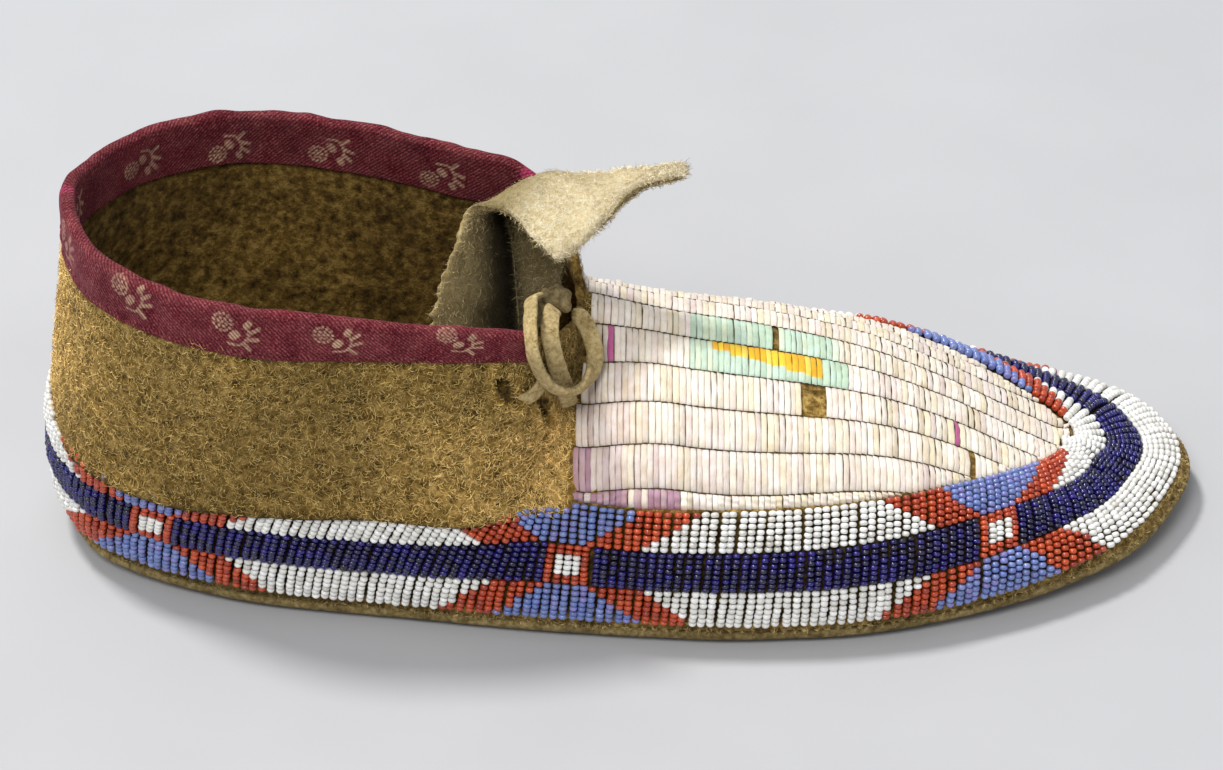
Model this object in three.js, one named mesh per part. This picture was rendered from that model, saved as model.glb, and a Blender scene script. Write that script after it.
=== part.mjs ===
// A right-foot moccasin with a hard rawhide sole, a soft leather upper worked with
// three lanes of beads and nine lanes of folded quills, cloth-bound ankle edges,
// a tall folded tongue and a leather lace.
// Millimetres. +X points to the toe, +Y to the inner side of the foot, +Z up.
import * as THREE from 'three';

// ---- Driving dimensions -------------------------------------------------------

const SOLE_THICKNESS = 3.5;
const LEATHER = 2.0;          // thickness of the upper and of the tongue
const GAP = 0.3;              // left between pieces that touch
const SEAM_INSET = 0.6;       // how far inside the sole's edge the upper starts
const LANE_WIDTH = 9.2;       // one lane of beads, about seven beads deep
const LANE_COUNT = 3;
const BARE_MARGIN = 2.5;      // plain leather under the lowest lane
const BEAD_TOP = GAP + 1.6;   // bead skin, above the leather
const QUILL_WIDTH = 10;       // one lane of quills at the instep
const QUILL_WIDTH_TOE = 7.6;  // and where the lanes draw together at the toe
const QUILL_LANES = { outermost: -5, innermost: 4 };   // counted from the ridge
const QUILL_LOW = 0.5;        // quill skin, above the leather
const QUILL_TOP = 1.2;
const CUFF_HEIGHT = 10;       // cloth binding, outside and inside
const CUFF_CLOTH = 0.9;
const SINEW = 1.2;            // sewing thread of twisted sinew, across
const LACE = 3.0;             // leather lace, across

// Sole edge seen from above: heel, outer side, toe, inner side.
const SOLE_EDGE = [
  [-129.5, 4], [-126, -11], [-115, -23.5], [-88, -34], [-50, -40.5], [-10, -46], [30, -48.5],
  [64, -45.2], [98, -34], [120, -19.5], [133.2, 4], [130.3, 23.5], [115, 38.5], [80, 46.5],
  [40, 47], [0, 43], [-45, 38], [-85, 34.5], [-113, 27.5], [-126, 17],
];
// Edge of the foot opening: heel, outer cuff, throat, inner cuff.
const OPENING_EDGE = [
  [-124.5, 4, 88], [-121, -12, 87.5], [-112, -25, 86.5], [-91, -37, 85], [-60, -39.5, 82],
  [-35, -37.5, 78], [-20, -33, 73.5], [-12, -21, 66.5], [-8, 0, 60.5], [-12, 21, 67.5],
  [-23, 32, 76.5], [-36, 33, 80.5], [-62, 37, 85], [-88, 38, 87], [-108, 29, 88],
  [-120, 16, 88.5],
];
// Ridge of the instep, from the throat to the end of the quilled panel.
const RIDGE = [
  [-8, 0, 60.5], [12, 1, 54.5], [34, 2, 49.5], [56, 3, 43], [74, 4, 34.5], [88, 4.5, 26.5],
  [102, 5, 18.5],
];
const RIDGE_END_SLOPE = -0.53;
const TOE_FAN_X = 72;         // from here on the cross-sections turn round the toe

// The tongue, row by row from the throat to its tip, each from outer to inner edge.
const TONGUE_ROWS = [
  [[-42.5, -27, 69], [-28, -10, 56.5], [-20, -2, 56], [-13.5, 8, 56.5]],
  [[-40.5, -22, 76], [-28, -3, 65], [-21, 1, 63.5], [-13.5, 5, 63]],
  [[-37, -13, 83], [-28.5, 3, 74], [-22, 6, 73], [-14, 8, 71.5]],
  [[-34, -2, 87.5], [-29.5, 5, 81.5], [-24, 10, 80.5], [-17, 13, 80]],
  [[-26, -4, 89], [-23, 3, 88.5], [-19.5, 9, 87.5], [-15.5, 14, 86]],
  [[-20, -10, 85.5], [-15, -2, 87], [-11, 6, 87], [-8, 14, 86.3]],
  [[-13.5, -14, 82.5], [-8, -6, 85.5], [-4, 3, 87], [-1, 12.5, 88]],
  [[-6, -6.5, 84], [-2, 0, 86.5], [1, 5, 88], [4.4, 11.5, 89.5]],
  [[3, 3, 89], [4.5, 5, 89.5], [6, 7.5, 89.8], [8.5, 10, 90.5]],
  [[13.5, 6.5, 90.8], [14, 8, 91], [14, 9, 91.2], [13.5, 10, 91.4]],
];

// Free routes of the lace, in front of the tongue on the outer side.
const LACE_LOOP = [
  [-18.2, -17.4, 74.6], [-19.6, -22, 76.6], [-19.7, -28, 78], [-19.7, -33.6, 76.8],
  [-18.9, -37.5, 72.2], [-16.4, -36.6, 65.2], [-12.8, -34, 60.4], [-9, -27.4, 56.8],
  [-6.2, -19.8, 56.2], [-5.8, -15.8, 58.8], [-7.8, -14.2, 64.6], [-10.6, -13.6, 68.4],
];
const LACE_TAIL = [
  [-14.8, -18.9, 72.4], [-15.4, -25, 74.3], [-15.5, -29.6, 72.8], [-14.6, -31.2, 68],
  [-13.3, -29.3, 61.4], [-12.2, -26.8, 55.3], [-11.4, -24.4, 49.4],
];
const LACE_KNOT = { at: [-14.4, -14.4, 71.6], size: [3, 3, 2.8] };
const LACE_STRAND = { from: 0.76, to: 0.80, low: 14, high: 20 };

// Beadwork: centres of the three motifs on each side, as shares of the way from heel to toe.
const MOTIF_CENTRES = [0.135, 0.445, 0.765];
const MOTIF_HALF = 0.078;

// The sole: its rolled edge as insets from the outline and heights, and its spring.
const SOLE_PROFILE = [[5.5, 0], [1.6, 0.9], [0.2, 2.4], [0.2, SOLE_THICKNESS]];
const TOE_SPRING = { start: 30, length: 102, rise: 5 };
const HEEL_SPRING = { start: -70, length: 60, rise: 2.6 };

// The upper's cross-section. Bulges push its lower handle out, and lifts are shares of
// its height; the ankle wall's upper handle stands WALL_OUT from the edge of the opening.
const BULGE = { side: 2.6, heel: 3.5, toe: -2.2 };
const LIFT = { ankle: 0.42, heel: -0.2, outer: 0.66, inner: 0.6, toe: 0.4 };
const WALL_OUT = { side: 3.2, heel: -1.2, drop: 0.42 };
const INSTEP_REACH = { outer: 0.55, inner: 0.45, toe: 0.5 };
const INSTEP_START = { outer: 0.42, inner: 0.36, length: 0.14 };
const TOE_START = { from: 0.7, length: 0.3 };
const HEEL_END = 0.16;

// The seams: the sole's thread lies further in round the toe, where the upper leans over it.
const SOLE_SEAM_TOE_INSET = 7.8;
const TAPER = { from: 0.6, length: 0.3 };
const HEEL_SEAM = { from: 8, below: 3, pitches: 8, clear: 0.2 };
const LACE_STRAND_SKIN = { low: 0.4, high: 2 };

const ANKLE_COLUMNS = 18;     // cross-sections from the heel to the throat, each side
const INSTEP_COLUMNS = 18;    // and from the throat to the toe
const CUFF_COLUMNS = 14;      // those that the cloth binding covers
const ANKLE = 0.5;            // station of the throat, of 0 at the heel to 1 at the toe

const OUTER = -1;             // the two sides of the foot
const INNER = 1;
const UP = new THREE.Vector3(0, 0, 1);

const COLOURS = {
  rawhide: 0xb79a63,
  suede: 0x96784a,
  pale_suede: 0xd2c39b,
  sinew: 0xd8c9a0,
  cloth: 0x7a2f45,
  lace: 0x8f7a55,
  quill: 0xebe1d2,
  beads: 0xe0dfdb,
  navy_beads: 0x1e1964,
};

// ---- Curves -----------------------------------------------------------------------

const clamp = (x, low, high) => Math.min(high, Math.max(low, x));
const mix = THREE.MathUtils.lerp;
const smooth = (x) => THREE.MathUtils.smoothstep(x, 0, 1);
const ramp = (x, { from, length }) => smooth((x - from) / length);

function smoothCurve(points, closed) {
  const corners = points.map((p) => new THREE.Vector3(p[0], p[1], p[2] ?? 0));
  return new THREE.CatmullRomCurve3(corners, closed, 'catmullrom', 0.5);
}

// Gives the point at a share, 0 to 1, of a polyline's length.
function ruler(points) {
  const reach = [0];
  for (let i = 1; i < points.length; i += 1) {
    reach.push(reach[i - 1] + points[i].distanceTo(points[i - 1]));
  }
  return (share) => {
    const goal = clamp(share, 0, 1) * reach[reach.length - 1];
    let low = 0;
    let high = reach.length - 1;
    while (high - low > 1) {
      const middle = (low + high) >> 1;
      if (reach[middle] <= goal) low = middle;
      else high = middle;
    }
    const part = (goal - reach[low]) / (reach[high] - reach[low]);
    return points[low].clone().lerp(points[high], part);
  };
}

// Splits a closed outline at its furthest point forward, into heel-to-front rulers.
function halves(outline) {
  const around = smoothCurve(outline, true).getPoints(4000);
  let front = 0;
  around.forEach((p, i) => {
    if (p.x > around[front].x) front = i;
  });
  return {
    [OUTER]: ruler(around.slice(0, front + 1)),
    [INNER]: ruler(around.slice(front).reverse()),
  };
}

const soleHalf = halves(SOLE_EDGE);
const openingHalf = halves(OPENING_EDGE);
const ridge = ruler(smoothCurve(RIDGE, false).getPoints(2000));
const TOE_X = soleHalf[OUTER](1).x;

// Share of each half of the sole edge at which a forward-going ruler reaches x.
function shareAt(walk, x) {
  let low = 0;
  let high = 1;
  for (let i = 0; i < 40; i += 1) {
    const middle = (low + high) / 2;
    if (walk(middle).x < x) low = middle;
    else high = middle;
  }
  return low;
}

const throatShare = {
  [OUTER]: shareAt(soleHalf[OUTER], RIDGE[0][0]),
  [INNER]: shareAt(soleHalf[INNER], RIDGE[0][0]),
};

// A station runs from 0 at the heel to ANKLE at the throat and 1 at the toe.
function soleShare(station, side) {
  const throat = throatShare[side];
  if (station < ANKLE) return (station / ANKLE) * throat;
  return throat + ((station - ANKLE) / (1 - ANKLE)) * (1 - throat);
}

function stationOf(share, side) {
  const throat = throatShare[side];
  if (share < throat) return (share / throat) * ANKLE;
  return ANKLE + ((share - throat) / (1 - throat)) * (1 - ANKLE);
}

const soleEdge = (station, side) => soleHalf[side](soleShare(station, side));

function outward(station, side) {
  if (station <= 0) return new THREE.Vector3(-1, 0, 0);
  if (station >= 1) return new THREE.Vector3(1, 0, 0);
  const share = soleShare(station, side);
  const run = soleHalf[side](share + 0.003).sub(soleHalf[side](share - 0.003));
  return new THREE.Vector3(-side * run.y, side * run.x, 0).normalize();
}

// Height of the sole's underside: it springs up at the toe and a little at the heel.
function rocker(x) {
  const toe = Math.max(0, (x - TOE_SPRING.start) / TOE_SPRING.length);
  const heel = Math.max(0, (HEEL_SPRING.start - x) / HEEL_SPRING.length);
  return TOE_SPRING.rise * toe * toe + HEEL_SPRING.rise * heel * heel;
}

// ---- The upper's outer surface ----------------------------------------------------

function ridgeAt(station) {
  const x = (soleEdge(station, OUTER).x + soleEdge(station, INNER).x) / 2;
  const end = RIDGE[RIDGE.length - 1][0];
  const past = clamp((x - TOE_FAN_X) / (TOE_X - TOE_FAN_X), 0, 1);
  const power = (TOE_X - TOE_FAN_X) / (end - TOE_FAN_X);
  const drawn = x > TOE_FAN_X ? TOE_FAN_X + (end - TOE_FAN_X) * (1 - (1 - past) ** power) : x;
  const share = shareAt(ridge, clamp(drawn, RIDGE[0][0], end));
  const run = ridge(share + 0.004).sub(ridge(share - 0.004));
  return { point: ridge(share), slope: drawn > end - 1 ? RIDGE_END_SLOPE : run.z / run.x };
}

// A cross-section of the upper, from the sole's edge up to the opening or the ridge.
function crossSection(station, side) {
  const edge = soleEdge(station, side);
  const out = outward(station, side);
  const foot = edge.clone().addScaledVector(out, -SEAM_INSET);
  foot.z = rocker(edge.x) + SOLE_THICKNESS + GAP;
  const crest = ridgeAt(station);
  const top = station < ANKLE ? openingHalf[side](station / ANKLE) : crest.point;
  const rise = top.z - foot.z;
  const half = side === OUTER ? 'outer' : 'inner';
  // 0 on the ankle wall, 1 over the instep
  const arch = smooth((station - INSTEP_START[half]) / INSTEP_START.length);
  const toe = ramp(station, TOE_START);
  const heel = 1 - smooth(station / HEEL_END);
  const bulge = BULGE.side * (1 - toe) + BULGE.heel * heel + BULGE.toe * toe;
  const lift = mix(LIFT.ankle + LIFT.heel * heel, mix(LIFT[half], LIFT.toe, toe), arch);
  const low = foot.clone().addScaledVector(UP, rise * lift).addScaledVector(out, bulge);
  const wall = out.clone().multiplyScalar(WALL_OUT.side + WALL_OUT.heel * heel)
    .addScaledVector(UP, -WALL_OUT.drop * rise);
  const over = foot.clone().sub(top)
    .multiplyScalar(mix(INSTEP_REACH[half], INSTEP_REACH.toe, toe));
  over.z = crest.slope * over.x;
  const high = top.clone().add(wall.lerp(over, arch));
  return new THREE.CubicBezierCurve3(foot, low, high, top);
}

const sections = new Map();
function section(station, side) {
  const key = `${side} ${station.toFixed(5)}`;
  if (!sections.has(key)) sections.set(key, crossSection(station, side));
  return sections.get(key);
}

const height = (station, side) => section(station, side).getLength();

// The point of the outer surface that is a given arc up its cross-section.
function surface(station, side, arc) {
  const curve = section(station, side);
  return curve.getPointAt(clamp(arc / curve.getLength(), 0, 1));
}

function normal(station, side, arc) {
  if (arc < 0.01) return outward(station, side);
  const step = 0.004;
  const from = surface(Math.max(0, station - step), side, arc);
  const to = surface(Math.min(1, station + step), side, arc);
  const along = to.sub(from);
  const curve = section(station, side);
  const upward = curve.getTangentAt(clamp(arc / curve.getLength(), 0.01, 0.995));
  return along.cross(upward).multiplyScalar(-side).normalize();
}

// ---- Solids from sheets -----------------------------------------------------------

// A sheet of quads with shared points. solid() gives it two faces, at two distances
// along its normals, and closes its free edges.
class Sheet {
  constructor() {
    this.points = [];
    this.normals = [];
    this.triangles = [];
    this.known = new Map();
  }

  point(place, facing) {
    const key = place.toArray().map((c) => c.toFixed(2)).join();
    if (!this.known.has(key)) {
      this.known.set(key, this.points.length);
      this.points.push(place);
      this.normals.push(new THREE.Vector3());
    }
    const index = this.known.get(key);
    if (facing) this.normals[index].add(facing);
    return index;
  }

  triangle(a, b, c) {
    if (a !== b && b !== c && a !== c) this.triangles.push([a, b, c]);
  }

  // rows[i][j] are indices of points; side turns the quads to face outwards.
  quads(rows, side) {
    for (let i = 1; i < rows.length; i += 1) {
      for (let j = 1; j < rows[i].length; j += 1) {
        const [a, b] = [rows[i - 1][j - 1], rows[i - 1][j]];
        const [c, d] = [rows[i][j], rows[i][j - 1]];
        if (side < 0) {
          this.triangle(a, d, c);
          this.triangle(a, c, b);
        } else {
          this.triangle(a, c, d);
          this.triangle(a, b, c);
        }
      }
    }
    return this;
  }

  faceNormals() {
    for (const [a, b, c] of this.triangles) {
      const ab = this.points[b].clone().sub(this.points[a]);
      const facing = ab.cross(this.points[c].clone().sub(this.points[a]));
      [a, b, c].forEach((i) => this.normals[i].add(facing));
    }
    return this;
  }

  solid(low, high) {
    const count = this.points.length;
    const layer = (distance) => this.points.map((p, i) => {
      const facing = this.normals[i].clone().normalize();
      return p.clone().addScaledVector(facing, distance);
    });
    const faces = [];
    const edges = new Map();
    for (const [a, b, c] of this.triangles) {
      faces.push([a + count, b + count, c + count], [a, c, b]);
      [[a, b], [b, c], [c, a]].forEach(([from, to]) => edges.set(`${from} ${to}`, [from, to]));
    }
    for (const [from, to] of edges.values()) {
      if (edges.has(`${to} ${from}`)) continue;
      faces.push([from, to, to + count], [from, to + count, from + count]);
    }
    return solidOf([...layer(low), ...layer(high)], faces);
  }
}

function solidOf(points, faces) {
  const geometry = new THREE.BufferGeometry().setFromPoints(points);
  geometry.setIndex(faces.flat());
  geometry.computeVertexNormals();
  return geometry;
}

// A closed ring of thread: a section with six sides carried round a closed line.
function threadRing(line, diameter) {
  const sides = 6;
  const points = [];
  const faces = [];
  line.forEach((p, i) => {
    const run = line[(i + 1) % line.length].clone().sub(line.at(i - 1)).normalize();
    const across = UP.clone().cross(run).normalize();
    const over = run.clone().cross(across);
    for (let k = 0; k < sides; k += 1) {
      const turn = (k / sides) * 2 * Math.PI;
      points.push(p.clone()
        .addScaledVector(across, Math.cos(turn) * diameter / 2)
        .addScaledVector(over, Math.sin(turn) * diameter / 2));
      const next = (k + 1) % sides;
      const ahead = ((i + 1) % line.length) * sides;
      const here = i * sides;
      faces.push([here + k, ahead + next, here + next], [here + k, ahead + k, ahead + next]);
    }
  });
  return solidOf(points, faces.map(([a, b, c]) => [a, c, b]));
}

function cord(route, diameter, steps) {
  const round = new THREE.Shape().absarc(0, 0, diameter / 2, 0, 2 * Math.PI);
  return new THREE.ExtrudeGeometry(round, {
    steps,
    curveSegments: 4,
    bevelEnabled: false,
    extrudePath: smoothCurve(route, false),
  });
}

// ---- Stations and rows ------------------------------------------------------------

const stations = [];
for (let i = 0; i <= ANKLE_COLUMNS; i += 1) stations.push((i / ANKLE_COLUMNS) * ANKLE);
for (let i = 1; i <= INSTEP_COLUMNS; i += 1) {
  stations.push(ANKLE + (i / INSTEP_COLUMNS) * (1 - ANKLE));
}
const BEAD_EDGE = BARE_MARGIN + LANE_COUNT * LANE_WIDTH;

// Arcs of the upper's rows: along the bead lanes first, then up to the top.
function rowArcs(station, side) {
  const arcs = [0];
  for (let lane = 0; lane < LANE_COUNT; lane += 1) {
    arcs.push(BARE_MARGIN + lane * LANE_WIDTH, BARE_MARGIN + (lane + 0.5) * LANE_WIDTH);
  }
  arcs.push(BEAD_EDGE);
  const top = height(station, side);
  const rest = top - BEAD_EDGE;
  const cuffed = 1 - smooth((station - 0.42) / 0.07);
  const cuff = (rest - CUFF_HEIGHT) / rest;
  const shares = [0.3, 0.6, 0.8, 0.9, 1];
  const walled = [cuff / 3, (cuff * 2) / 3, cuff, (1 + cuff) / 2, 1];
  shares.forEach((share, i) => arcs.push(BEAD_EDGE + rest * mix(share, walled[i], cuffed)));
  return arcs;
}

// ---- Sub-parts --------------------------------------------------------------------

const part = new THREE.Group();
part.name = 'moccasin';

function add(name, geometry, colour, roughness = 0.9) {
  const material = new THREE.MeshStandardMaterial({ color: colour, roughness, metalness: 0 });
  const mesh = new THREE.Mesh(geometry, material);
  mesh.name = name;
  part.add(mesh);
}

// The rawhide sole: flat in the middle, rolled at its edge, sprung at toe and heel.
function rawhideSole() {
  const sheet = new Sheet();
  const ring = (station, side) => SOLE_PROFILE.map(([inset, above]) => {
    const place = soleEdge(station, side).addScaledVector(outward(station, side), -inset);
    place.z = rocker(place.x) + above;
    return sheet.point(place);
  });
  const outer = stations.map((station) => ring(station, OUTER));
  const inner = stations.map((station) => ring(station, INNER));
  sheet.quads(outer, OUTER).quads(inner, INNER);
  const across = (row) => stations.map((_, i) => [outer[i][row], inner[i][row]]);
  sheet.quads(across(0), INNER);
  sheet.quads(across(SOLE_PROFILE.length - 1), OUTER);
  return solidOf(sheet.points, sheet.triangles);
}

function leatherUpper() {
  const sheet = new Sheet();
  for (const side of [OUTER, INNER]) {
    const rows = stations.map((station) => rowArcs(station, side).map((arc) => (
      sheet.point(surface(station, side, arc), normal(station, side, arc)))));
    sheet.quads(rows, side);
  }
  return sheet.solid(-LEATHER, 0);
}

// The cloth binding folded over one side of the opening's edge.
function cuffBinding(side) {
  const sheet = new Sheet();
  const covered = stations.slice(0, CUFF_COLUMNS + 1);
  const rows = covered.map((station, i) => {
    const nudge = i === 0 ? 0.002 : 0;
    const at = station + nudge;
    const arcs = rowArcs(at, side).slice(-3);
    const line = (arc, above, flip) => {
      const facing = normal(at, side, arc);
      const place = surface(at, side, arc).addScaledVector(facing, above);
      return sheet.point(place, facing.multiplyScalar(flip));
    };
    const top = surface(at, side, arcs[2]).addScaledVector(normal(at, side, arcs[2]), -LEATHER / 2);
    return [
      ...arcs.map((arc) => line(arc, GAP, 1)),
      sheet.point(top.addScaledVector(UP, GAP), UP),
      ...arcs.reverse().map((arc) => line(arc, -LEATHER - GAP, -1)),
    ];
  });
  return sheet.quads(rows, side).solid(0, CUFF_CLOTH);
}

// A place on the ring round the shoe: 0 at the heel, 1 at the toe, 2 at the heel again.
function ringStation(ring) {
  const turn = ((ring % 2) + 2) % 2;
  const side = turn <= 1 ? OUTER : INNER;
  return { side, station: stationOf(turn <= 1 ? turn : 2 - turn, side) };
}

// Ring places of the upper's own columns, so that beads and leather share their facets.
const ringColumns = [OUTER, INNER].flatMap((side) => stations.map((station) => (
  side === OUTER ? soleShare(station, side) : 2 - soleShare(station, side))));

function beadSkin(lane, from, to) {
  const cut = 0.0008;
  const inside = (ring) => ring > from + 0.004 && ring < to - 0.004;
  const columns = [...ringColumns, ...ringColumns.map((ring) => ring + 2)].filter(inside);
  const low = BARE_MARGIN + lane * LANE_WIDTH;
  const arcs = [low + GAP / 2, low + LANE_WIDTH / 2, low + LANE_WIDTH - GAP / 2];
  const sheet = new Sheet();
  const rings = [from + cut, ...columns.sort((a, b) => a - b), to - cut];
  const rows = rings.map((ring) => {
    const { side, station } = ringStation(ring);
    return arcs.map((arc) => sheet.point(surface(station, side, arc), normal(station, side, arc)));
  });
  return sheet.quads(rows, OUTER).solid(GAP, BEAD_TOP);
}

function quillWidth(station) {
  return mix(QUILL_WIDTH, QUILL_WIDTH_TOE, ramp(station, TAPER));
}

// One lane of quills, counted from the ridge: 0 on it, negative on the outer side.
function quillSkin(lane) {
  const start = ANKLE + 0.002;
  const limit = (station, side) => height(station, side) - BEAD_EDGE - GAP;
  const sides = lane === 0 ? [OUTER, INNER] : [Math.sign(lane)];
  const near = (station) => Math.max(0, Math.abs(lane) - 0.5) * quillWidth(station);
  const far = (station, side) => Math.min((Math.abs(lane) + 0.5) * quillWidth(station) - GAP,
    limit(station, side));
  const sheet = new Sheet();
  for (const side of sides) {
    const wide = (station) => limit(station, side) - near(station) - GAP;
    const columns = [start, ...stations.filter((station) => station > start + 0.01)];
    let last = columns.findIndex((station) => wide(station) < 1);
    if (last < 0) last = columns.length;
    const rows = columns.slice(0, last).map((station) => {
      const inner = lane === 0 ? 0 : near(station);
      const outer = far(station, side);
      return [outer, (inner + outer) / 2, inner].map((down) => {
        const arc = height(station, side) - down;
        return sheet.point(surface(station, side, arc), normal(station, side, arc));
      });
    });
    sheet.quads(rows, side);
  }
  return sheet.solid(QUILL_LOW, QUILL_TOP);
}

function tongue() {
  const lengthwise = TONGUE_ROWS[0].map((_, k) => (
    smoothCurve(TONGUE_ROWS.map((row) => row[k]), false).getPoints(18)));
  const sheet = new Sheet();
  const rows = lengthwise[0].map((_, i) => {
    const across = smoothCurve(lengthwise.map((line) => line[i].toArray()), false);
    return across.getPoints(6).map((p) => sheet.point(p));
  });
  return sheet.quads(rows, OUTER).faceNormals().solid(-LEATHER / 2, LEATHER / 2);
}

// The sewing thread that joins upper and sole, whipped round inside the seam.
function soleSeam() {
  const place = ({ station, side }) => {
    const inset = mix(SEAM_INSET + LEATHER + SINEW, SOLE_SEAM_TOE_INSET, ramp(station, TAPER));
    const p = soleEdge(station, side).addScaledVector(outward(station, side), -inset);
    p.z = rocker(p.x) + SOLE_THICKNESS + GAP + SINEW / 2;
    return p;
  };
  const around = [
    ...stations.map((station) => ({ station, side: OUTER })),
    ...stations.slice(1, -1).reverse().map((station) => ({ station, side: INNER })),
  ];
  return threadRing(around.map(place), SINEW);
}

// The thread of the upright seam inside the heel.
function heelSeam() {
  const { from, below, pitches, clear } = HEEL_SEAM;
  const inside = LEATHER + GAP + SINEW / 2 + clear;
  const top = height(0, OUTER) - CUFF_HEIGHT - below;
  const route = [];
  for (let arc = from; arc <= top; arc += (top - from) / pitches) {
    const facing = normal(0.0001, OUTER, arc);
    facing.y = 0;
    route.push(surface(0, OUTER, arc).addScaledVector(facing.normalize(), -inside).toArray());
  }
  return cord(route, SINEW, 16);
}

function laceKnot() {
  const knot = new THREE.SphereGeometry(1, 10, 8);
  knot.scale(...LACE_KNOT.size);
  return knot.translate(...LACE_KNOT.at);
}

// The short run of lace that lies on the outer flap between its slits.
function laceStrand() {
  const { from, to, low, high } = LACE_STRAND;
  const sheet = new Sheet();
  const columns = [from, (from + to) / 2, to].map((share) => share * ANKLE);
  const rows = columns.map((station) => [high, (high + low) / 2, low].map((down) => {
    const arc = height(station, OUTER) - down;
    return sheet.point(surface(station, OUTER, arc), normal(station, OUTER, arc));
  }));
  return sheet.quads(rows, OUTER).solid(LACE_STRAND_SKIN.low, LACE_STRAND_SKIN.high);
}

add('rawhide_sole', rawhideSole(), COLOURS.rawhide, 0.7);
add('leather_upper', leatherUpper(), COLOURS.suede);
add('sole_seam_sinew', soleSeam(), COLOURS.sinew, 0.6);
add('heel_seam_sinew', heelSeam(), COLOURS.sinew, 0.6);
add('outer_cuff_binding', cuffBinding(OUTER), COLOURS.cloth);
add('inner_cuff_binding', cuffBinding(INNER), COLOURS.cloth);
add('tongue', tongue(), COLOURS.pale_suede);
add('lace_loop', cord(LACE_LOOP, LACE, 26), COLOURS.lace);
add('lace_tail', cord(LACE_TAIL, LACE, 14), COLOURS.lace);
add('lace_knot', laceKnot(), COLOURS.lace);
add('lace_strand', laceStrand(), COLOURS.lace);

// Each lane of beads is laid in fields: a motif, then the plain field after it.
const motifs = [...MOTIF_CENTRES, ...MOTIF_CENTRES.map((centre) => 2 - centre).reverse()];
const LANE_NAMES = ['lower', 'middle', 'upper'];
LANE_NAMES.forEach((name, lane) => {
  const plain = name === 'middle' ? COLOURS.navy_beads : COLOURS.beads;
  motifs.forEach((centre, i) => {
    const next = motifs[i + 1] ?? motifs[0] + 2;
    const [from, to] = [centre - MOTIF_HALF, centre + MOTIF_HALF];
    add(`${name}_lane_motif_${i + 1}`, beadSkin(lane, from, to), COLOURS.beads, 0.3);
    add(`${name}_lane_field_${i + 1}`, beadSkin(lane, to, next - MOTIF_HALF), plain, 0.3);
  });
});

for (let lane = QUILL_LANES.outermost; lane <= QUILL_LANES.innermost; lane += 1) {
  add(`quill_lane_${lane - QUILL_LANES.outermost + 1}`, quillSkin(lane), COLOURS.quill, 0.5);
}

// The origin is under the middle of the whole shoe, on the ground.
const box = new THREE.Box3().setFromObject(part);
const middle = box.getCenter(new THREE.Vector3());
part.position.set(-middle.x, -middle.y, -box.min.z);

export default part;
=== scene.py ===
import math
import bpy
import numpy as np
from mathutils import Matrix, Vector


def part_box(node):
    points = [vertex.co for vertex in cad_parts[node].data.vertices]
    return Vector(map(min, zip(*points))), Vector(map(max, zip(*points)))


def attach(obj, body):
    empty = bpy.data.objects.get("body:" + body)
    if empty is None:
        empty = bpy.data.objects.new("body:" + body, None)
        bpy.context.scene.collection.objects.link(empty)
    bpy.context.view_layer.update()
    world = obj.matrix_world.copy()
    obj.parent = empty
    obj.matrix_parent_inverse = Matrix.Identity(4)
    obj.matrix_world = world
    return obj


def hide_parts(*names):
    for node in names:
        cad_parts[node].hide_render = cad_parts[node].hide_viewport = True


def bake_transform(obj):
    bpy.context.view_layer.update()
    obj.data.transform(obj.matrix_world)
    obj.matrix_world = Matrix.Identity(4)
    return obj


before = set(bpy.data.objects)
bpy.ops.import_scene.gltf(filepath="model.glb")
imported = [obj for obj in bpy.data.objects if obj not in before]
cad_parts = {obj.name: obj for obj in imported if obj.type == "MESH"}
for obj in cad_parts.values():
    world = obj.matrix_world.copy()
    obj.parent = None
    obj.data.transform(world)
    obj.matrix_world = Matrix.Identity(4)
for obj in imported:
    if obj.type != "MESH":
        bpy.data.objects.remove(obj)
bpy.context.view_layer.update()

MM = 0.001
UP = np.array([0.0, 0.0, 1.0])
OUTER, INNER = -1, 1

# ---- The shoe's driving lines, in millimetres before the frame's shift ----
SOLE_EDGE = [
    (-129.5, 4), (-126, -11), (-115, -23.5), (-88, -34), (-50, -40.5), (-10, -46), (30, -48.5),
    (64, -45.2), (98, -34), (120, -19.5), (133.2, 4), (130.3, 23.5), (115, 38.5), (80, 46.5),
    (40, 47), (0, 43), (-45, 38), (-85, 34.5), (-113, 27.5), (-126, 17),
]
OPENING_EDGE = [
    (-124.5, 4, 88), (-121, -12, 87.5), (-112, -25, 86.5), (-91, -37, 85), (-60, -39.5, 82),
    (-35, -37.5, 78), (-20, -33, 73.5), (-12, -21, 66.5), (-8, 0, 60.5), (-12, 21, 67.5),
    (-23, 32, 76.5), (-36, 33, 80.5), (-62, 37, 85), (-88, 38, 87), (-108, 29, 88),
    (-120, 16, 88.5),
]
RIDGE = [
    (-8, 0, 60.5), (12, 1, 54.5), (34, 2, 49.5), (56, 3, 43), (74, 4, 34.5), (88, 4.5, 26.5),
    (102, 5, 18.5),
]
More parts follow.
